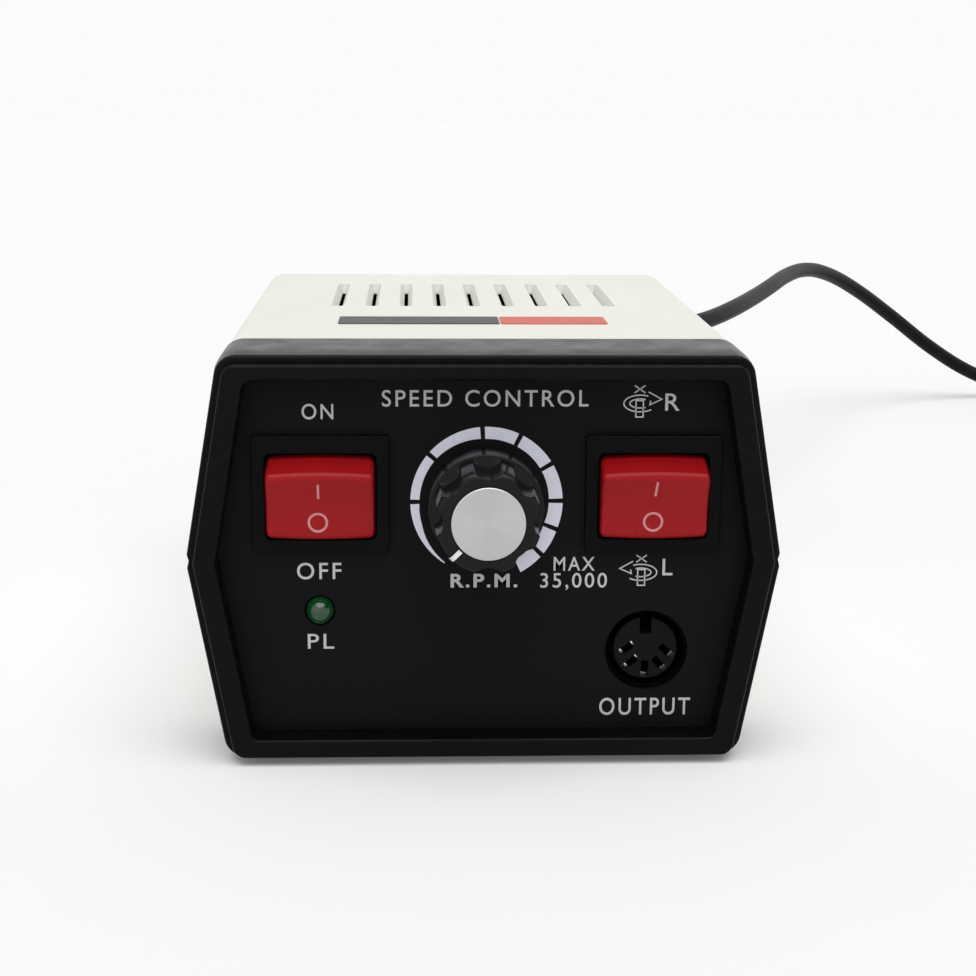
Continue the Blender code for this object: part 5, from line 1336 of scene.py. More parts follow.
def build_case_halves(settings, finishes):
    """The cream halves with air slots, posts and screw wells, the plain plate on top, and the feet."""
    case = settings.case
    screws = [middle(f"case_screw_{i}") for i in CORNERS]
    posts, sleeves = [], []
    for x, y, _ in screws:
        foot, head = (x, y, PARTING_Z + GAP / 2), (x, y, ROOF_Z + CASE_WALL / 2)
        posts.append(rod(POST_RADIUS, foot, head, POST_STEPS))
        outlines = [circle((x, y), radius, WELL_STEPS) for radius in (SLEEVE_RADIUS, SCREW_WELL_RADIUS)]
        sleeves.append(prism(outlines, BOTTOM_Z + GAP, PARTING_Z, "Z"))
    slots = []
    for i in range(SLOTS):
        place = ((i - (SLOTS - 1) / 2) * SLOT_PITCH, (SLOT_FRONT_Y + SLOT_REAR_Y) / 2)
        slots.append(slot_tool(place, case.slot_width, SLOT_REAR_Y - SLOT_FRONT_Y))
    cover = joined(carved(half_shell(True, case.rear_round), [joined(*slots)]), *posts)
    base = joined(carved(half_shell(False, case.rear_round), [joined(*wells(screws))]), *sleeves)
    for name, half, node in (("cover", cover, "top_cover"), ("base", base, "bottom_case")):
        show(name, half, finishes["shell"], "case", (node,), FINE_ROUND, HALF_SHARP_ANGLE)
    build_top_plate(finishes)
    for i in CORNERS:
        low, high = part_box(f"rubber_foot_{i}")
        radius, height = (high.x - low.x) / 2, high.z - low.z
        groove = [(radius * share, depth) for share, depth in zip(FOOT_GROOVE_SHARES, (0, GAP, GAP, 0))]
        profile = eased([(0, 0), *groove, (radius, 0), (radius, height), (0, height)], WIDE_ROUND)
        foot = turned(profile, ((low.x + high.x) / 2, (low.y + high.y) / 2, low.z), UPWARDS, HOLE_STEPS)
        show(f"foot_{i}", foot, finishes["rubber"], stands_for=(f"rubber_foot_{i}",))


def wells(screws):
    """The holes under the case for its screws and feet."""
    below = BOTTOM_Z - GAP
    tools = [rod(SCREW_WELL_RADIUS, (x, y, below), (x, y, FLOOR_Z + GAP), WELL_STEPS) for x, y, _ in screws]
    for i in CORNERS:
        low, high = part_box(f"rubber_foot_{i}")
        x, y = (low.x + high.x) / 2, (low.y + high.y) / 2
        tools.append(rod((high.x - low.x) / 2 + GAP, (x, y, below), (x, y, high.z + GAP), HOLE_STEPS))
    return tools


def build_top_plate(finishes):
    """A thin plain plate in two colours on the cover, bare of words."""
    top = TOP_Z - COVER_INSET
    y, length = (PLATE_FRONT_Y + PLATE_REAR_Y) / 2, PLATE_REAR_Y - PLATE_FRONT_Y
    for name, left, right, finish in (
        ("top_plate_dark", PLATE_LEFT_X, PLATE_SPLIT_X, "label_black"),
        ("top_plate_red", PLATE_SPLIT_X + GAP, PLATE_RIGHT_X, "label_red"),
    ):
        outline = rectangle(((left + right) / 2, y), right - left, length, PLATE_CORNER)
        plate = prism([outline], top, top + PLATE_THICKNESS, "Z")
        show(name, plate, finishes[finish], bevel=PLATE_THICKNESS / 3)


# The switches


def dished(share):
    """How far out the rocker's hollow face stands at this share of its half height."""
    return ROCKER_RISE - ROCKER_DISH * (1 - share * share)


def rocker_profile(rounding, crown_share):
    """The rocker's side view as pairs of up and out, before it is tilted."""
    shares = [1 - step / ROCKER_DISH_STEPS for step in range(2 * ROCKER_DISH_STEPS + 1)]
    keel_up, keel_out = ROCKER_HALF_BASE * ROCKER_KEEL_SHARE, -ROCKER_KEEL * ROCKER_KEEL_SHARE
    corners = [
        *[(share * ROCKER_HALF_FACE, dished(share)) for share in shares],
        (-ROCKER_HALF_BASE, 0),
        (-keel_up, keel_out),
        (0, -ROCKER_KEEL),
        (keel_up, keel_out),
        (ROCKER_HALF_BASE, 0),
    ]
    radii = [0] * len(corners)
    radii[0] = radii[len(shares) - 1] = rounding
    return [(up * (1 + crown_share), out) for up, out in rounded(corners, radii, CORNER_STEPS)]


def tilted(x, up, out, pivot):
    """A point of the rocker turned about its pivot as it rests, with the lower end pressed in."""
    cosine, sine = math.cos(ROCKER_TILT), math.sin(ROCKER_TILT)
    return (pivot.x + x, pivot.y - (out * cosine + up * sine), pivot.z + up * cosine - out * sine)


def rocker_mesh(half_width, pivot, switch):
    """The rocker drawn across its width, its ends bowed and its side edges rounded."""
    side = switch.rocker_round * ROCKER_SIDE_SHARE
    flat = half_width - side
    edge = [(flat + side * along, side * (1 - across)) for across, along in quarter(CORNER_STEPS)]
    flats = [(flat * (1 - step / ROUND_STEPS), 0) for step in range(1, 2 * ROUND_STEPS)]
    rings = []
    for x, inset in (*edge, *flats, *[(-x, inset) for x, inset in reversed(edge)]):
        crown = switch.rocker_crown / ROCKER_HALF_FACE * (1 - (x / half_width) ** 2)
        share = 1 - inset / ROCKER_HALF_FACE
        profile = rocker_profile(switch.rocker_round, crown)
        rings.append([tilted(x, up * share, out * share, pivot) for up, out in profile])
    return skin(rings, caps=True)


def switch_body(place, pivot, front):
    """A switch's flange and housing, with the mouth that the rocker tips in."""
    rim = rectangle((place.x, place.z), SWITCH_FLANGE_WIDTH, SWITCH_FLANGE_HEIGHT, SWITCH_FLANGE_CORNER)
    flange = prism([rim], front, front + SWITCH_FLANGE, "Y")
    rear = front + SWITCH_FLANGE + SWITCH_BODY_LENGTH
    half_width, half_height = SWITCH_BODY_WIDTH / 2, SWITCH_BODY_HEIGHT / 2
    housing = box(
        (place.x - half_width, front + SWITCH_FLANGE / 2, place.z - half_height),
        (place.x + half_width, rear, place.z + half_height),
    )
    outline = rectangle((pivot.x, pivot.z), MOUTH_WIDTH, MOUTH_HEIGHT, MOUTH_CORNER)
    mouth = prism([outline], front - GAP, rear - SWITCH_FLOOR, "Y")
    return carved(carved(flange, [housing], "UNION"), [mouth])


def build_switches(settings, finishes):
    """Both rocker switches: flanged body, rocker and the bar and ring marked on it."""
    for prefix in SWITCHES:
        node, rides = prefix + "_switch_body", prefix + "_rocker"
        place = switch_place(prefix)
        pivot = place - Vector((0, 0, SWITCH_MOUTH_DROP))
        body = switch_body(place, pivot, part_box(node)[0].y)
        show(prefix + "_switch", body, finishes["switch"], "case", (node,), SMALL_ROUND)
        rocker = rocker_mesh(MOUTH_WIDTH / 2 - ROCKER_SIDE_GAP, pivot, settings.switch)
        show(prefix + "_rocker_cap", rocker, finishes["rocker"], rides, (rides,), angle=50)
        bar_x, bar_up, lean, ring_x = MARK_PLACES[prefix]
        show(prefix + "_bar_mark", bar_mark(pivot, bar_x, bar_up, lean), finishes["mark"], rides)
        show(prefix + "_ring_mark", ring_mark(pivot, ring_x), finishes["mark"], rides)


def mark_ribbon(points, pivot, closed):
    """A printed line on the rocker's face through pairs of across and up."""
    rings = []
    for before, point, after in neighbours(points, closed):
        way = (after - before).normalized()
        side = Vector((-way.y, way.x)) * MARK_WIDTH / 2
        ring = []
        for across, height in ((side, HAIR), (-side, HAIR), (-side, -HAIR), (side, -HAIR)):
            place = point + across
            ring.append(tilted(place.x, place.y, dished(place.y / ROCKER_HALF_FACE) + height, pivot))
        rings.append(ring)
    return skin(rings, round_rings=closed, caps=not closed)


def bar_mark(pivot, x, up, lean):
    half = BAR_MARK_LENGTH / 2
    points = [(x + share * half * lean, up + share * half) for share in (-1, -0.5, 0, 0.5, 1)]
    return mark_ribbon(points, pivot, False)


def ring_mark(pivot, x):
    return mark_ribbon(circle((x, RING_MARK_UP), RING_MARK_RADIUS, RING_MARK_STEPS), pivot, True)


# The dial


def knob_side(face):
    """The knob's side as pairs of radius and height, narrowing from the skirt to the face's edge."""
    top_radius = KNOB_TOP_RADIUS + KNOB_EDGE_REACH / 2
    pairs = []
    for step in range(CORNER_STEPS + 1):
        share = step / CORNER_STEPS
        height = KNOB_SKIRT_TOP + SMALL_ROUND + (face - KNOB_EDGE - KNOB_SKIRT_TOP - SMALL_ROUND) * share
        pairs.append((KNOB_FOOT_RADIUS + (top_radius - KNOB_FOOT_RADIUS) * share, height))
    return pairs


def build_dial(settings, finishes):
    """The fluted knob with its spun cap and white pointer."""
    dial = settings.dial
    centre = axis_at("knob_cap", PANEL_FACE_Y)
    total = PANEL_FACE_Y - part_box("knob_cap")[0].y
    rim = CAP_RADIUS + FINE_ROUND
    seat, face = total - CAP_THICKNESS, total - GAP
    side = knob_side(face)
    edge_radius = side[-1][0]
    edge = []
    for across, along in quarter(CORNER_STEPS):
        edge.append((edge_radius - KNOB_EDGE_REACH * (1 - along), face - KNOB_EDGE * (1 - across)))
    skirt = (
        (KNOB_SKIRT_RADIUS - KNOB_SKIRT_WALL, KNOB_GAP),
        (KNOB_SKIRT_RADIUS, KNOB_GAP),
        (KNOB_SKIRT_RADIUS, KNOB_SKIRT_TOP),
        (KNOB_FOOT_RADIUS, KNOB_SKIRT_TOP),
    )
    recess = ((rim, face), (rim, seat), (0, seat))
    profile = [(0, KNOB_GAP), *eased(skirt, KNOB_SKIRT_ROUND, 5), *side, *edge[1:], *recess]
    away = KNOB_FOOT_RADIUS + FLUTE_RADIUS - dial.flute_depth
    lean = (KNOB_FOOT_RADIUS - edge_radius) / (face - KNOB_SKIRT_TOP)

    def fluted(radius, height, angle):
        if height < KNOB_SKIRT_TOP + SMALL_ROUND / 2 or radius <= rim + FINE_ROUND:
            return radius
        pitch = math.tau / dial.flutes
        turn = (angle - POINTER_ANGLE + math.pi) % math.tau - math.pi
        if abs(turn) < pitch / 2:
            return radius
        offset = (turn + pitch / 2) % pitch - pitch / 2
        reach = away - lean * (height - KNOB_SKIRT_TOP)
        inside = FLUTE_RADIUS**2 - (reach * math.sin(offset)) ** 2
        if inside <= 0:
            return radius
        hollow = reach * math.cos(offset) - math.sqrt(inside)
        nearer = min(radius, hollow)
        blend = math.exp((nearer - radius) / FLUTE_SOFTNESS) + math.exp((nearer - hollow) / FLUTE_SOFTNESS)
        return nearer - FLUTE_SOFTNESS * math.log(blend)

    knob = face_the_front(turned(profile, centre, TO_FRONT, KNOB_STEPS, fluted), centre)
    show("dial_knob", knob, finishes["knob"], "speed_dial", ("speed_knob",), angle=40)
    cap = ((0, total), (CAP_RADIUS, total), (CAP_RADIUS, seat), (0, seat))
    cap = turned(eased(cap, CAP_ROUND), centre, TO_FRONT)
    show("dial_cap", cap, finishes["cap"], "speed_dial", ("knob_cap",), angle=30)
    pointer = pointer_mesh(centre, face, rim + FINE_ROUND, edge_radius)
    show("dial_pointer", pointer, finishes["pointer"], "speed_dial")


def pointer_mesh(centre, face, start, end):
    """The printed line that runs out over the knob's face and down its rounded edge."""
    cosine, sine = math.cos(POINTER_ANGLE), math.sin(POINTER_ANGLE)
    rings = []
    for step in range(CURVE_STEPS + 1):
        radius = start + (end - start) * step / CURVE_STEPS
        height = face - knob_drop(radius, end)
        ring = []
        for across, lift in ((-1, FINE_ROUND), (1, FINE_ROUND), (1, -FINE_ROUND), (-1, -FINE_ROUND)):
            place = Vector((radius, across * POINTER_WIDTH / 2))
            x, z = place.x * cosine - place.y * sine, place.x * sine + place.y * cosine
            ring.append((centre.x + x, centre.y - height - lift, centre.z + z))
        rings.append(ring)
    return skin(rings, caps=True)


def knob_drop(radius, edge_radius):
    """How far the knob's rounded front edge has fallen back at this radius."""
    along = (radius - (edge_radius - KNOB_EDGE_REACH)) / KNOB_EDGE_REACH
    if along <= 0:
        return 0
    return KNOB_EDGE * (1 - math.sqrt(max(0, 1 - along * along)))


def face_the_front(mesh, centre):
    """Rolls a piece that was turned about -Y so that its angles count from +X towards +Z."""
    turn = Vector(TO_FRONT).to_track_quat("Z", "Y").to_matrix() @ Vector((1, 0, 0))
    roll = Matrix.Rotation(math.atan2(turn.z, turn.x), 4, "Y")
    mesh.transform(Matrix.Translation(centre) @ roll @ Matrix.Translation(-centre))
    return mesh


# Lamp and socket


def build_lamp(settings, finishes):
    """The green lens of the pilot lamp, standing through the plate, and its legs."""
    centre = axis_at("pilot_lens", PANEL_FACE_Y)
    rear_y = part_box("pilot_lens")[1].y
    depth = BACKING_Y - PANEL_FACE_Y
    dome = [(LAMP_RADIUS * across, LAMP_REACH * along) for across, along in quarter(LAMP_DOME_STEPS)]
    lens = turned([*dome, (LAMP_RADIUS, -depth), (0, -depth)], centre, TO_FRONT, BODY_STEPS)
    legs = []
    for side in (-1, 1):
        x = centre.x + side * LAMP_LEG_OFFSET
        near = (x - LAMP_LEG_HALF, centre.y + depth, centre.z - LAMP_LEG_HALF)
        legs.append(box(near, (x + LAMP_LEG_HALF, rear_y, centre.z + LAMP_LEG_HALF)))
    show("lamp_lens", joined(lens, *legs), finishes["lens"], stands_for=("pilot_lens",))


def build_socket(settings, finishes):
    """The handpiece socket: shell painted near-black as shade, keyed insert and five spring contacts."""
    low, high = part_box("output_socket_shell")
    centre = axis_at("output_socket_shell", low.y)
    length = high.y - low.y
    flange = (high.x - low.x) / 2
    outer = SOCKET_BORE_RADIUS + SOCKET_SHELL_WALL
    near = BACKING_WALL + 2 * GAP
    profile = (
        (SOCKET_BORE_RADIUS, length),
        (SOCKET_BORE_RADIUS, 0),
        (outer, 0),
        (outer, near),
        (flange, near),
        (flange, near + SOCKET_FLANGE),
        (outer, near + SOCKET_FLANGE),
        (outer, length),
        (SOCKET_BORE_RADIUS, length),
    )
    shell = turned(eased(profile, THIN_ROUND), centre, TO_BACK)
    # The shell's near-black finish is painted shade, not the shell's own colour
    show("socket_shell", shell, finishes["socket"], stands_for=("output_socket_shell",))
    end = length - INSERT_SHORTFALL
    profile = ((0, 0), (INSERT_RADIUS, 0), (INSERT_RADIUS, end), (0, end))
    insert = turned(eased(profile, SMALL_ROUND), centre, TO_BACK)
    radius, start, end = SOCKET_BORE_RADIUS - GAP, length - INSERT_BASE_LENGTH, length - GAP
    base = turned(((0, start), (radius, start), (radius, end), (0, end)), centre, TO_BACK)
    top = centre.z + INSERT_RADIUS
    key = box(
        (centre.x - KEY_WIDTH / 2, centre.y - GAP, top - KEY_DEPTH),
        (centre.x + KEY_WIDTH / 2, centre.y + length * KEY_LENGTH_SHARE, top + GAP),
    )
    tools, contacts = [key], []
    half_x, half_z = CONTACT_SLOT_LENGTH / 2, CONTACT_SLOT_WIDTH / 2
    for angle, turn in zip(CONTACT_ANGLES, CONTACT_TURNS):
        bearing = math.radians(angle)
        offset = Vector((CONTACT_CIRCLE * math.cos(bearing), 0, CONTACT_CIRCLE * math.sin(bearing)))
        moved = Matrix.Translation(centre + offset + Vector(CONTACT_SHIFT))
        place = moved @ Matrix.Rotation(-math.radians(turn), 4, "Y")
        slot = box((-half_x, -GAP, -half_z), (half_x, length * CONTACT_SLOT_SHARE, half_z))
        slot.transform(place)
        tools.append(slot)
        contacts.append(spring_contact(half_x, half_z, length, place))
    body = joined(carved(insert, [joined(*tools)]), base)
    node = "output_socket_insert"
    show("socket_insert", body, finishes["insert"], stands_for=(node,))
    for i, contact in enumerate(contacts, 1):
        node = f"output_contact_{i}"
        show(f"socket_contact_{i}", contact, finishes["contact"], stands_for=(node,))


def spring_contact(half_x, half_z, length, place):
    """A folded spring leaf: a tab at each end of its slot, joined deep inside, and a tail behind."""
    deep = length * LEAF_END_SHARE
    wide = half_z - HAIR * 4
    parts = []
    for side in (-1, 1):
        outer = side * (half_x - HAIR)
        left, right = sorted((outer, outer - side * LEAF_THICKNESS))
        parts.append(box((left, LEAF_START, -wide), (right, deep, wide)))
    parts.append(box((-half_x + HAIR, deep - LEAF_THICKNESS, -wide), (half_x - HAIR, deep, wide)))
    tail_end = (TAIL_HALF_WIDTH, length + TAIL_LENGTH, TAIL_HALF_THICKNESS)
    parts.append(box((-TAIL_HALF_WIDTH, deep, -TAIL_HALF_THICKNESS), tail_end))
    leaf = joined(*parts)
    leaf.transform(place)
    return leaf


# The back


def build_back(settings, finishes):
    """The rear panel with its fuse holder and the jack for a foot pedal."""
    holes = [
        round_hole("fuse_cap", FUSE_HOLE_RADIUS),
        round_hole("foot_jack", JACK_HOLE_RADIUS),
        round_hole("strain_relief", RELIEF_NECK_RADIUS + GAP),
    ]
    plate = prism([section(COVER_INNER + GAP), *holes], REAR_INNER_Y, REAR_OUTER_Y, "Y")
    show("back_plate", plate, finishes["bezel"], "case", ("rear_panel",), FINE_ROUND)
    build_fuse(finishes)
    build_jack(finishes)


def build_fuse(finishes):
    """The fuse holder and the knurled, slotted cap that closes it."""
    low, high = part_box("fuse_holder")
    centre = axis_at("fuse_holder", REAR_OUTER_Y)
    inner, mouth = low.y - REAR_OUTER_Y, high.y - REAR_OUTER_Y
    flange = (high.x - low.x) / 2
    holder = (
        (0, inner),
        (FUSE_TUBE_RADIUS, inner),
        (FUSE_TUBE_RADIUS, GAP),
        (flange, GAP),
        (flange, mouth),
        (BORE_RADIUS, mouth),
        (BORE_RADIUS, inner + BORE_END_WALL),
        (0, inner + BORE_END_WALL),
    )
    mesh = turned(eased(holder, WIDE_ROUND), centre, TO_BACK, BODY_STEPS)
    show("fuse_socket", mesh, finishes["switch"], stands_for=("fuse_holder",))
    low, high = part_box("fuse_cap")
    stem, seat, end = low.y - REAR_OUTER_Y, mouth + GAP, high.y - REAR_OUTER_Y
    radius = (high.x - low.x) / 2
    rise = end - seat
    first, last = KNURL_SHARES

    def knurled(here, height, angle):
        if here < radius * KNURL_RADIUS_SHARE or height < seat + rise * first or height > seat + rise * last:
            return here
        return here - KNURL_DEPTH * (0.5 + 0.5 * math.cos(angle * KNURLS))

    cap = [(0, stem), (FUSE_STEM_RADIUS, stem), (FUSE_STEM_RADIUS, seat)]
    cap += [(radius, seat + rise * share) for share in FUSE_CAP_SHARES]
    cap += [(radius - FUSE_CAP_CHAMFER, end), (0, end)]
    mesh = turned(cap, centre, TO_BACK, FUSE_CAP_STEPS, knurled)
    slot = box(
        (centre.x - radius - GAP, centre.y + end - rise / 3, centre.z - FUSE_SLOT_HALF),
        (centre.x + radius + GAP, centre.y + end + GAP, centre.z + FUSE_SLOT_HALF),
    )
    knob = carved(mesh, [slot])
    show("fuse_knob", knob, finishes["switch"], stands_for=("fuse_cap",))


def build_jack(finishes):
    """The jack for a foot pedal and its nut."""
    low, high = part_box("foot_jack")
    centre = axis_at("foot_jack", REAR_OUTER_Y)
    inner, mouth = low.y - REAR_OUTER_Y, high.y - REAR_OUTER_Y
    body = (high.x - low.x) / 2
    profile = (
        (0, inner),
        (body, inner),
        (body, REAR_PANEL_INSIDE),
        (JACK_BUSH_RADIUS, REAR_PANEL_INSIDE),
        (JACK_BUSH_RADIUS, mouth),
        (BORE_RADIUS, mouth),
        (BORE_RADIUS, inner + BORE_END_WALL),
        (0, inner + BORE_END_WALL),
    )
    mesh = turned(eased(profile, SMALL_ROUND), centre, TO_BACK, BODY_STEPS)
    show("pedal_jack", mesh, finishes["switch"], stands_for=("foot_jack",))
    low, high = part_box("foot_jack_nut")
    place = (centre.x, centre.z)
    outlines = [circle(place, (high.x - low.x) / 2, NUT_SIDES), circle(place, JACK_NUT_BORE, HOLE_STEPS)]
    nut = prism(outlines, low.y, high.y, "Y")
    show("jack_nut", nut, finishes["steel"], "case", ("foot_jack_nut",), THIN_ROUND)


# The mains lead


def spline_points(route, count):
    """Points at even steps along the smooth curve through the route."""
    before, after = 2 * Vector(route[0]) - Vector(route[1]), 2 * Vector(route[-1]) - Vector(route[-2])
    ends = [before, *map(Vector, route), after]
    fine = []
    for i in range(len(ends) - 3):
        a, b, c, d = ends[i : i + 4]
        for step in range(SPAN_STEPS):
            t = step / SPAN_STEPS
            squared, cubed = 2 * a - 5 * b + 4 * c - d, 3 * b - a - 3 * c + d
            fine.append((2 * b + (c - a) * t + squared * t * t + cubed * t**3) / 2)
    fine.append(ends[-2])
    lengths = [0]
    for first, second in zip(fine, fine[1:]):
        lengths.append(lengths[-1] + (second - first).length)
    points, j = [], 0
    for i in range(count):
        goal = lengths[-1] * i / (count - 1)
        while j < len(lengths) - 2 and lengths[j + 1] < goal:
            j += 1
        share = (goal - lengths[j]) / (lengths[j + 1] - lengths[j])
        points.append(fine[j].lerp(fine[j + 1], min(share, 1)))
    return points


def gently(share):
    """A share from 0 to 1 that sets out and arrives gently."""
    return share * share * (3 - 2 * share)


def coil_points():
    """The coil's centre and points: in along the lower layer, up as it reverses, out along the upper one."""
    centre = Vector(CORD_ROUTE[-1]) + Vector((2 * CORD_RADIUS + GAP, -COIL_RADIUS, 0))
    low = CORD_RADIUS + CORD_LIE
    reverse = COIL_TURNS / 2 - COIL_REVERSE / 2
    inner = COIL_RADIUS - COIL_PITCH * reverse
    count = round(COIL_TURNS * COIL_POINTS_A_TURN)
    points = []
    for i in range(count + 1):
        turn = COIL_TURNS * i / count
        if turn < reverse:
            radius, climb = COIL_RADIUS - COIL_PITCH * turn, 0
        elif turn < reverse + COIL_REVERSE:
            along = (turn - reverse) / COIL_REVERSE
            radius, climb = inner - COIL_PITCH * along * (1 - along) / 2, gently(along)
        else:
            radius, climb = inner + COIL_PITCH * (turn - reverse - COIL_REVERSE), 1
        angle = math.pi / 2 - math.tau * turn
        away = abs((angle - COIL_TIE_ANGLE + math.pi) % math.tau - math.pi) / COIL_LIFT_SPREAD
        lift = COIL_TIE_LIFT * (1 - away * away) ** 2 if away < 1 else 0
        x, y = centre.x + radius * math.cos(angle), centre.y + radius * math.sin(angle)
        points.append(Vector((x, y, low + COIL_PITCH * climb + lift)))
    start = points[-1]
    end_z = PLUG_THICKNESS / 2 + CORD_LIE
    for step in range(1, COIL_TAIL_STEPS + 1):
        share = step / COIL_TAIL_STEPS
        z = start.z + (end_z - start.z) * gently(share)
        points.append(Vector((start.x, start.y - COIL_TAIL * share, z)))
    return centre, points


def ribs(count, spare, base, tip, start, length):
    """Ribs that let a relief bend as it narrows from base to tip, as pairs of radius and height."""
    pairs = []
    for i in range(count):
        for share, sunk in RIB_SHAPE:
            along = (i + share) / (count + spare)
            pairs.append((base + (tip - base) * along - sunk * RIB_GROOVE, start + length * along))
    return pairs


def relief_profile(inner, length):
    """The strain relief from its head inside the panel to its tip: a collar, then ribs."""
    start = GAP + RELIEF_HEAD
    taper = length - start
    return [
        (0, inner),
        (RELIEF_HEAD_RADIUS, inner),
        (RELIEF_HEAD_RADIUS, REAR_PANEL_INSIDE),
        (RELIEF_NECK_RADIUS, REAR_PANEL_INSIDE),
        (RELIEF_NECK_RADIUS, GAP),
        (RELIEF_HEAD_RADIUS, GAP),
        (RELIEF_HEAD_RADIUS, start),
        *ribs(RELIEF_RIBS, RELIEF_SPARE_RIBS, RELIEF_RADIUS, RELIEF_TIP_RADIUS, start, taper),
        (RELIEF_TIP_RADIUS, start + taper * RELIEF_TIP_SHARE),
        (RELIEF_TIP_RADIUS, length),
        (0, length),
    ]


def build_lead(settings, finishes):
    """The mains lead with its relief, its tied coil and its plug."""
    low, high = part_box("strain_relief")
    profile = relief_profile(low.y - REAR_OUTER_Y, high.y - REAR_OUTER_Y)
    centre = axis_at("strain_relief", REAR_OUTER_Y)
    relief = turned(eased(profile, WIDE_ROUND, 3), centre, TO_BACK, HOLE_STEPS)
    show("lead_relief", relief, finishes["lead"], stands_for=("strain_relief",))
    free = spline_points(CORD_ROUTE, CORD_STEPS)
    coil_centre, turns = coil_points()
    route = [*free, *turns]
    nodes = ("mains_cord", "cord_coil")
    lead = show("mains_lead", tube(route, CORD_RADIUS), finishes["lead"], "case", nodes, angle=60)
    tie = build_tie(coil_centre, turns, finishes)
    plug, pins = build_plug(route[-1], finishes)


def build_tie(centre, turns, finishes):
    """The strap round the coil's bundle."""
    near = [point for point in turns if abs(point.x - centre.x) < COIL_RADIUS / 3 and point.y < centre.y]
    radii = [math.hypot(place.x, place.y) for place in (point - centre for point in near)]
    inner = min(radii) - CORD_RADIUS - 2 * TIE_SLACK
    outer = max(radii) + CORD_RADIUS + TIE_SLACK
    low = CORD_LIE + TIE_THICKNESS + GAP
    high = low + 2 * CORD_RADIUS + COIL_PITCH + TIE_SLACK
    place = (centre.y - (inner + outer) / 2, (low - GAP + high) / 2)
    width, height = outer - inner, high - low + GAP
    around = 2 * TIE_THICKNESS
    strap = [
        rectangle(place, width + around, height + around, TIE_CORNER + TIE_THICKNESS, CORNER_STEPS),
        rectangle(place, width, height, TIE_CORNER, CORNER_STEPS),
    ]
    mesh = prism(strap, centre.x - TIE_WIDTH / 2, centre.x + TIE_WIDTH / 2, "X")
    return show("lead_tie", mesh, finishes["rubber"], "case", ("cord_tie",), THIN_ROUND)


def build_plug(end, finishes):
    """The flat two-pin plug, its ribbed relief and its pins."""
    low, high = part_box("plug_body")
    x, z = end.x, (low.z + high.z) / 2
    half = (high.x - low.x) / 2
    rear, front = high.y - PLUG_RELIEF, low.y
    neck = PLUG_NECK_WIDTH / 2
    corners = (
        (x + neck, rear),
        (x + half, rear - PLUG_SHOULDER),
        (x + half, front),
        (x - half, front),
        (x - half, rear - PLUG_SHOULDER),
        (x - neck, rear),
    )
    radii = (PLUG_CORNER, PLUG_SHOULDER / 2, PLUG_CORNER, PLUG_CORNER, PLUG_SHOULDER / 2, PLUG_CORNER)
    outline = rounded(corners, radii, CORNER_STEPS)
    body = prism([outline], z - PLUG_THICKNESS / 2, z + PLUG_THICKNESS / 2, "Z")
    plug = show("plug", body, finishes["plug"], "case", ("plug_body",), PLUG_ROUND, 60)
    profile = [
        (0, -PLUG_SHOULDER / 2),
        (PLUG_RELIEF_RADIUS, -PLUG_SHOULDER / 2),
        (PLUG_RELIEF_RADIUS, 0),
        *ribs(PLUG_RIBS, PLUG_SPARE_RIBS, PLUG_RELIEF_RADIUS, PLUG_RELIEF_TIP, 0, PLUG_RELIEF),
        (PLUG_RELIEF_TIP, PLUG_RELIEF * PLUG_RELIEF_TIP_SHARE),
        (PLUG_RELIEF_TIP, PLUG_RELIEF),
        (0, PLUG_RELIEF),
    ]
    relief = turned(eased(profile, SMALL_ROUND, 3), Vector((x, rear, z)), TO_BACK, HOLE_STEPS)
    pins = [show("plug_relief", relief, finishes["plug"])]
    for i in (1, 2):
        node = f"plug_pin_{i}"
        low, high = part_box(node)
        radius, length = (high.x - low.x) / 2, high.y - low.y
        tip = ((0, 0), (radius * PIN_TIP_SHARE, 0), (radius, radius * PIN_TIP_LENGTH_SHARE))
        profile = eased((*tip, (radius, length), (0, length)), WIDE_ROUND)
        pin = turned(profile, axis_at(node, low.y), TO_BACK, HOLE_STEPS)
        pins.append(show(f"plug_prong_{i}", pin, finishes["brass"], stands_for=(node,)))
    return plug, pins


# The CAD nodes that keep their own shape, by the finish that they get

CARRIED_OVER = {
    "core": ("transformer_core",),
    "tape": ("transformer_winding",),
    "board": ("circuit_board",),
    "sleeve": ("capacitor",),
    "chip": ("rectifier", "power_transistor", "lamp_clip", "fuse_nut"),
    "sink": ("heat_sink", "pot_shaft"),
    "glass": ("fuse_link",),
    "steel": (
        "transformer_bracket",
        "potentiometer",
        "dial_washer",
        "dial_nut",
        "bracket_screw_1",
        "bracket_screw_2",
        *[f"board_screw_{i}" for i in CORNERS],
        *[f"case_screw_{i}" for i in CORNERS],
    ),
}


def dress_inside(settings, finishes):
    """Finishes for the CAD nodes that keep their own shape."""
    for finish, nodes in CARRIED_OVER.items():
        for node in nodes:
            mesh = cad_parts[node].data
            mesh.materials.clear()
            mesh.materials.append(finishes[finish])


# Floor, lights and camera


def build_stage(settings, finishes):
    place_camera(settings.stage)
    hang_lights(settings.stage)
    make_sky(settings.stage)
    lay_floor()


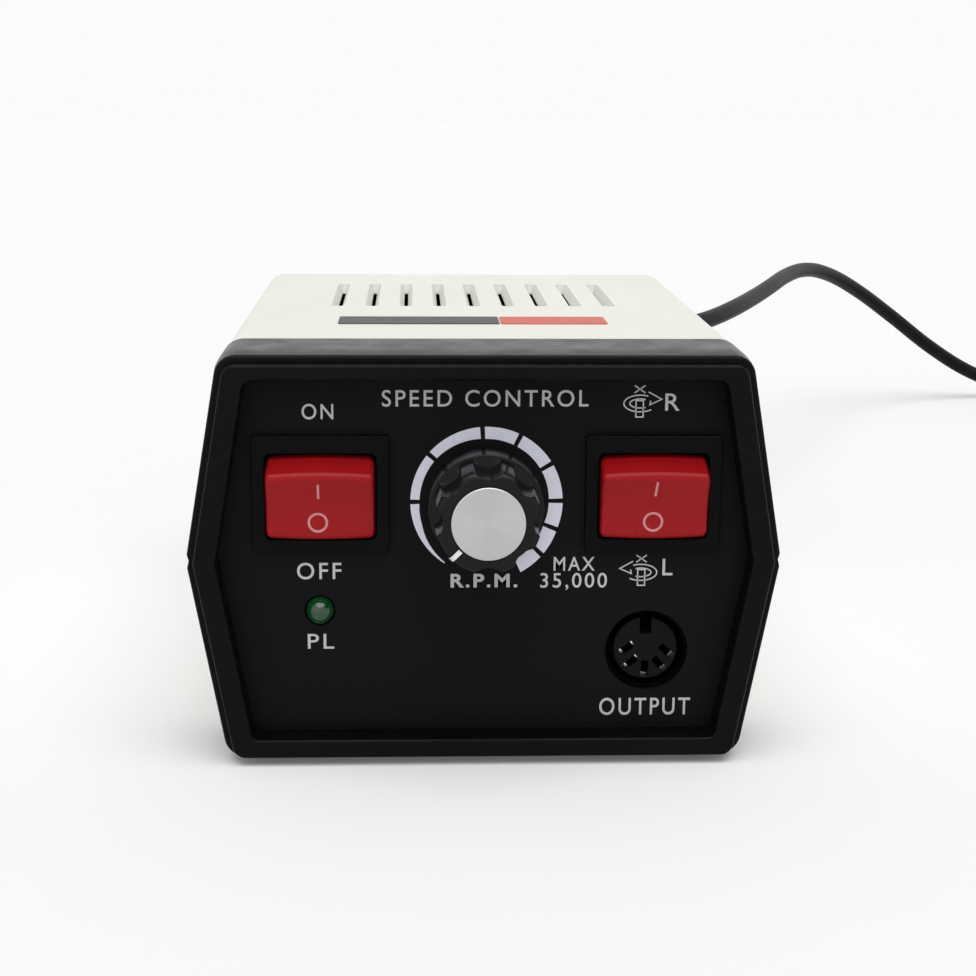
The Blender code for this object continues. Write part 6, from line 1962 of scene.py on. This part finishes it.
def place_camera(stage):
    """The camera at the photograph's place and turn."""
    level = Vector((math.cos(CAMERA_YAW), -math.sin(CAMERA_YAW), 0))
    flat = math.cos(CAMERA_PITCH)
    forward = Vector((math.sin(CAMERA_YAW) * flat, math.cos(CAMERA_YAW) * flat, -math.sin(CAMERA_PITCH)))
    upright = level.cross(forward)
    right = level * math.cos(CAMERA_ROLL) + upright * math.sin(CAMERA_ROLL)
    up = upright * math.cos(CAMERA_ROLL) - level * math.sin(CAMERA_ROLL)
    data = bpy.data.cameras.new("photo_camera")
    data.lens = stage.lens
    data.sensor_width = CAMERA_SENSOR
    camera = bpy.data.objects.new("photo_camera", data)
    turn = Matrix((right, up, -forward)).transposed().to_4x4()
    camera.matrix_world = Matrix.Translation(CAMERA_PLACE) @ turn
    bpy.context.scene.collection.objects.link(camera)
    bpy.context.scene.camera = camera


def hang_lights(stage):
    """A broad soft light high in front and a weaker one at the front left, both even over the floor."""
    for name, place, power in (
        ("key_light", KEY_PLACE, stage.key_power),
        ("fill_light", FILL_PLACE, stage.fill_power),
    ):
        data = bpy.data.lights.new(name, "SUN")
        data.angle = LIGHT_SPREAD
        data.energy = power
        light = bpy.data.objects.new(name, data)
        light.location = place
        light.rotation_euler = (Vector((0, 0, 0)) - Vector(place)).to_track_quat("-Z", "Y").to_euler()
        bpy.context.scene.collection.objects.link(light)


def make_sky(stage):
    """Even light from all round, and plain white for what the camera and reflections see."""
    world = bpy.data.worlds.new("studio")
    world.use_nodes = True
    tree = world.node_tree
    tree.nodes.clear()
    ray = add_node(tree, "ShaderNodeLightPath").outputs
    lit = add_node(tree, "ShaderNodeBackground", Color=WHITE, Strength=stage.sky)
    plain = add_node(tree, "ShaderNodeBackground", Color=WHITE, Strength=BACKDROP_STRENGTH)
    seen = worked_out(tree, "MAXIMUM", ray["Is Camera Ray"], ray["Is Glossy Ray"])
    seen = worked_out(tree, "MAXIMUM", seen, ray["Is Transmission Ray"])
    add_node(tree, "ShaderNodeOutputWorld", Surface=mixed(tree, seen, lit, plain))
    bpy.context.scene.world = world


def lay_floor():
    """A plain pale floor that takes the object's shadow and looks a little brighter to the camera."""
    places = (-FLOOR_REACH, 0, FLOOR_REACH)
    mesh = skin([[(x, y, 0) for x in places] for y in places], around_ring=False)
    finish, tree, shader = new_finish("pale_floor", FLOOR_GREY, 0.9, Specular_IOR_Level=0.1)
    toned(tree, shader, grain(tree, 0.5, detail=1.0), FLOOR_DARKER, FLOOR_LIGHTER)
    seen = add_node(tree, "ShaderNodeLightPath").outputs["Is Camera Ray"]
    glow = add_node(tree, "ShaderNodeEmission", Color=WHITE, Strength=FLOOR_GLOW)
    both = add_node(tree, "ShaderNodeAddShader")
    for part, socket in zip((shader, glow), both.inputs):
        tree.links.new(part.outputs[0], socket)
    tree.links.new(mixed(tree, seen, shader, both), tree.nodes["Material Output"].inputs["Surface"])
    floor = bpy.data.objects.new("floor", mesh)
    mesh.materials.append(finish)
    bpy.context.scene.collection.objects.link(floor)


# Operators and panel

FINISHES = {}


def ready(context):
    """The user's settings and the finishes made from them, which all operators share."""
    settings = context.scene.control_box
    if not FINISHES:
        FINISHES.update(make_finishes(settings))
    return settings, FINISHES


class CONTROLBOX_OT_stage(bpy.types.Operator):
    """Set the camera, lay the pale floor and hang the soft lights"""

    bl_idname = "controlbox.stage"
    bl_label = "Stage"

    def execute(self, context):
        build_stage(*ready(context))
        return {"FINISHED"}


class CONTROLBOX_OT_lead(bpy.types.Operator):
    """Make the mains lead with its relief, tied coil and plug"""

    bl_idname = "controlbox.lead"
    bl_label = "Mains Lead"

    def execute(self, context):
        build_lead(*ready(context))
        return {"FINISHED"}


class CONTROLBOX_OT_bezel(bpy.types.Operator):
    """Make the black frame round the front"""

    bl_idname = "controlbox.bezel"
    bl_label = "Front Bezel"

    def execute(self, context):
        build_bezel(*ready(context))
        return {"FINISHED"}


class CONTROLBOX_OT_front_plate(bpy.types.Operator):
    """Make the front plate with its words, icons and scale"""

    bl_idname = "controlbox.front_plate"
    bl_label = "Front Plate"

    def execute(self, context):
        build_front_plate(*ready(context))
        return {"FINISHED"}


class CONTROLBOX_OT_case_halves(bpy.types.Operator):
    """Make the cover and base with their slots, posts, wells and feet"""

    bl_idname = "controlbox.case_halves"
    bl_label = "Case Halves"

    def execute(self, context):
        build_case_halves(*ready(context))
        return {"FINISHED"}


class CONTROLBOX_OT_switches(bpy.types.Operator):
    """Make both rocker switches with their marks"""

    bl_idname = "controlbox.switches"
    bl_label = "Rocker Switches"

    def execute(self, context):
        build_switches(*ready(context))
        return {"FINISHED"}


class CONTROLBOX_OT_dial(bpy.types.Operator):
    """Make the fluted knob with its cap and pointer"""

    bl_idname = "controlbox.dial"
    bl_label = "Speed Dial"

    def execute(self, context):
        build_dial(*ready(context))
        return {"FINISHED"}


class CONTROLBOX_OT_lamp(bpy.types.Operator):
    """Make the pilot lamp's green lens"""

    bl_idname = "controlbox.lamp"
    bl_label = "Pilot Lamp"

    def execute(self, context):
        build_lamp(*ready(context))
        return {"FINISHED"}


class CONTROLBOX_OT_socket(bpy.types.Operator):
    """Make the handpiece socket with its insert and contacts"""

    bl_idname = "controlbox.socket"
    bl_label = "Handpiece Socket"

    def execute(self, context):
        build_socket(*ready(context))
        return {"FINISHED"}


class CONTROLBOX_OT_back(bpy.types.Operator):
    """Make the rear panel with its fuse holder and pedal jack"""

    bl_idname = "controlbox.back"
    bl_label = "Rear Panel"

    def execute(self, context):
        build_back(*ready(context))
        return {"FINISHED"}


class CONTROLBOX_OT_inside(bpy.types.Operator):
    """Give the parts inside the case their finishes"""

    bl_idname = "controlbox.inside"
    bl_label = "Inner Parts"

    def execute(self, context):
        dress_inside(*ready(context))
        return {"FINISHED"}


SETTING_GROUPS = (CaseSettings, PanelSettings, SwitchSettings, DialSettings, FittingSettings, StageSettings)
OPERATORS = (
    CONTROLBOX_OT_stage,
    CONTROLBOX_OT_lead,
    CONTROLBOX_OT_bezel,
    CONTROLBOX_OT_front_plate,
    CONTROLBOX_OT_case_halves,
    CONTROLBOX_OT_switches,
    CONTROLBOX_OT_dial,
    CONTROLBOX_OT_lamp,
    CONTROLBOX_OT_socket,
    CONTROLBOX_OT_back,
    CONTROLBOX_OT_inside,
)


class CONTROLBOX_PT_pieces(bpy.types.Panel):
    """Lists the settings and the pieces of the control box"""

    bl_idname = "CONTROLBOX_PT_pieces"
    bl_label = "Control Box"
    bl_space_type = "VIEW_3D"
    bl_region_type = "UI"
    bl_category = "Control Box"

    def draw(self, context):
        settings = context.scene.control_box
        for part in ("case", "panel", "switch", "dial", "fitting", "stage"):
            group = getattr(settings, part)
            column = self.layout.column(heading=part.capitalize())
            for name in group.bl_rna.properties.keys():
                if name not in ("rna_type", "name"):
                    column.prop(group, name)
        for operator in OPERATORS:
            self.layout.operator(operator.bl_idname)


CLASSES = (*SETTING_GROUPS, ControlBoxSettings, *OPERATORS, CONTROLBOX_PT_pieces)


def register():
    for made in CLASSES:
        bpy.utils.register_class(made)
    bpy.types.Scene.control_box = PointerProperty(type=ControlBoxSettings)


def unregister():
    del bpy.types.Scene.control_box
    for made in reversed(CLASSES):
        bpy.utils.unregister_class(made)


def main():
    register()
    scene = bpy.context.scene
    scene.view_settings.view_transform = "Standard"
    for operator in OPERATORS:
        group, name = operator.bl_idname.split(".")
        getattr(getattr(bpy.ops, group), name)()


if __name__ == "__main__":
    main()
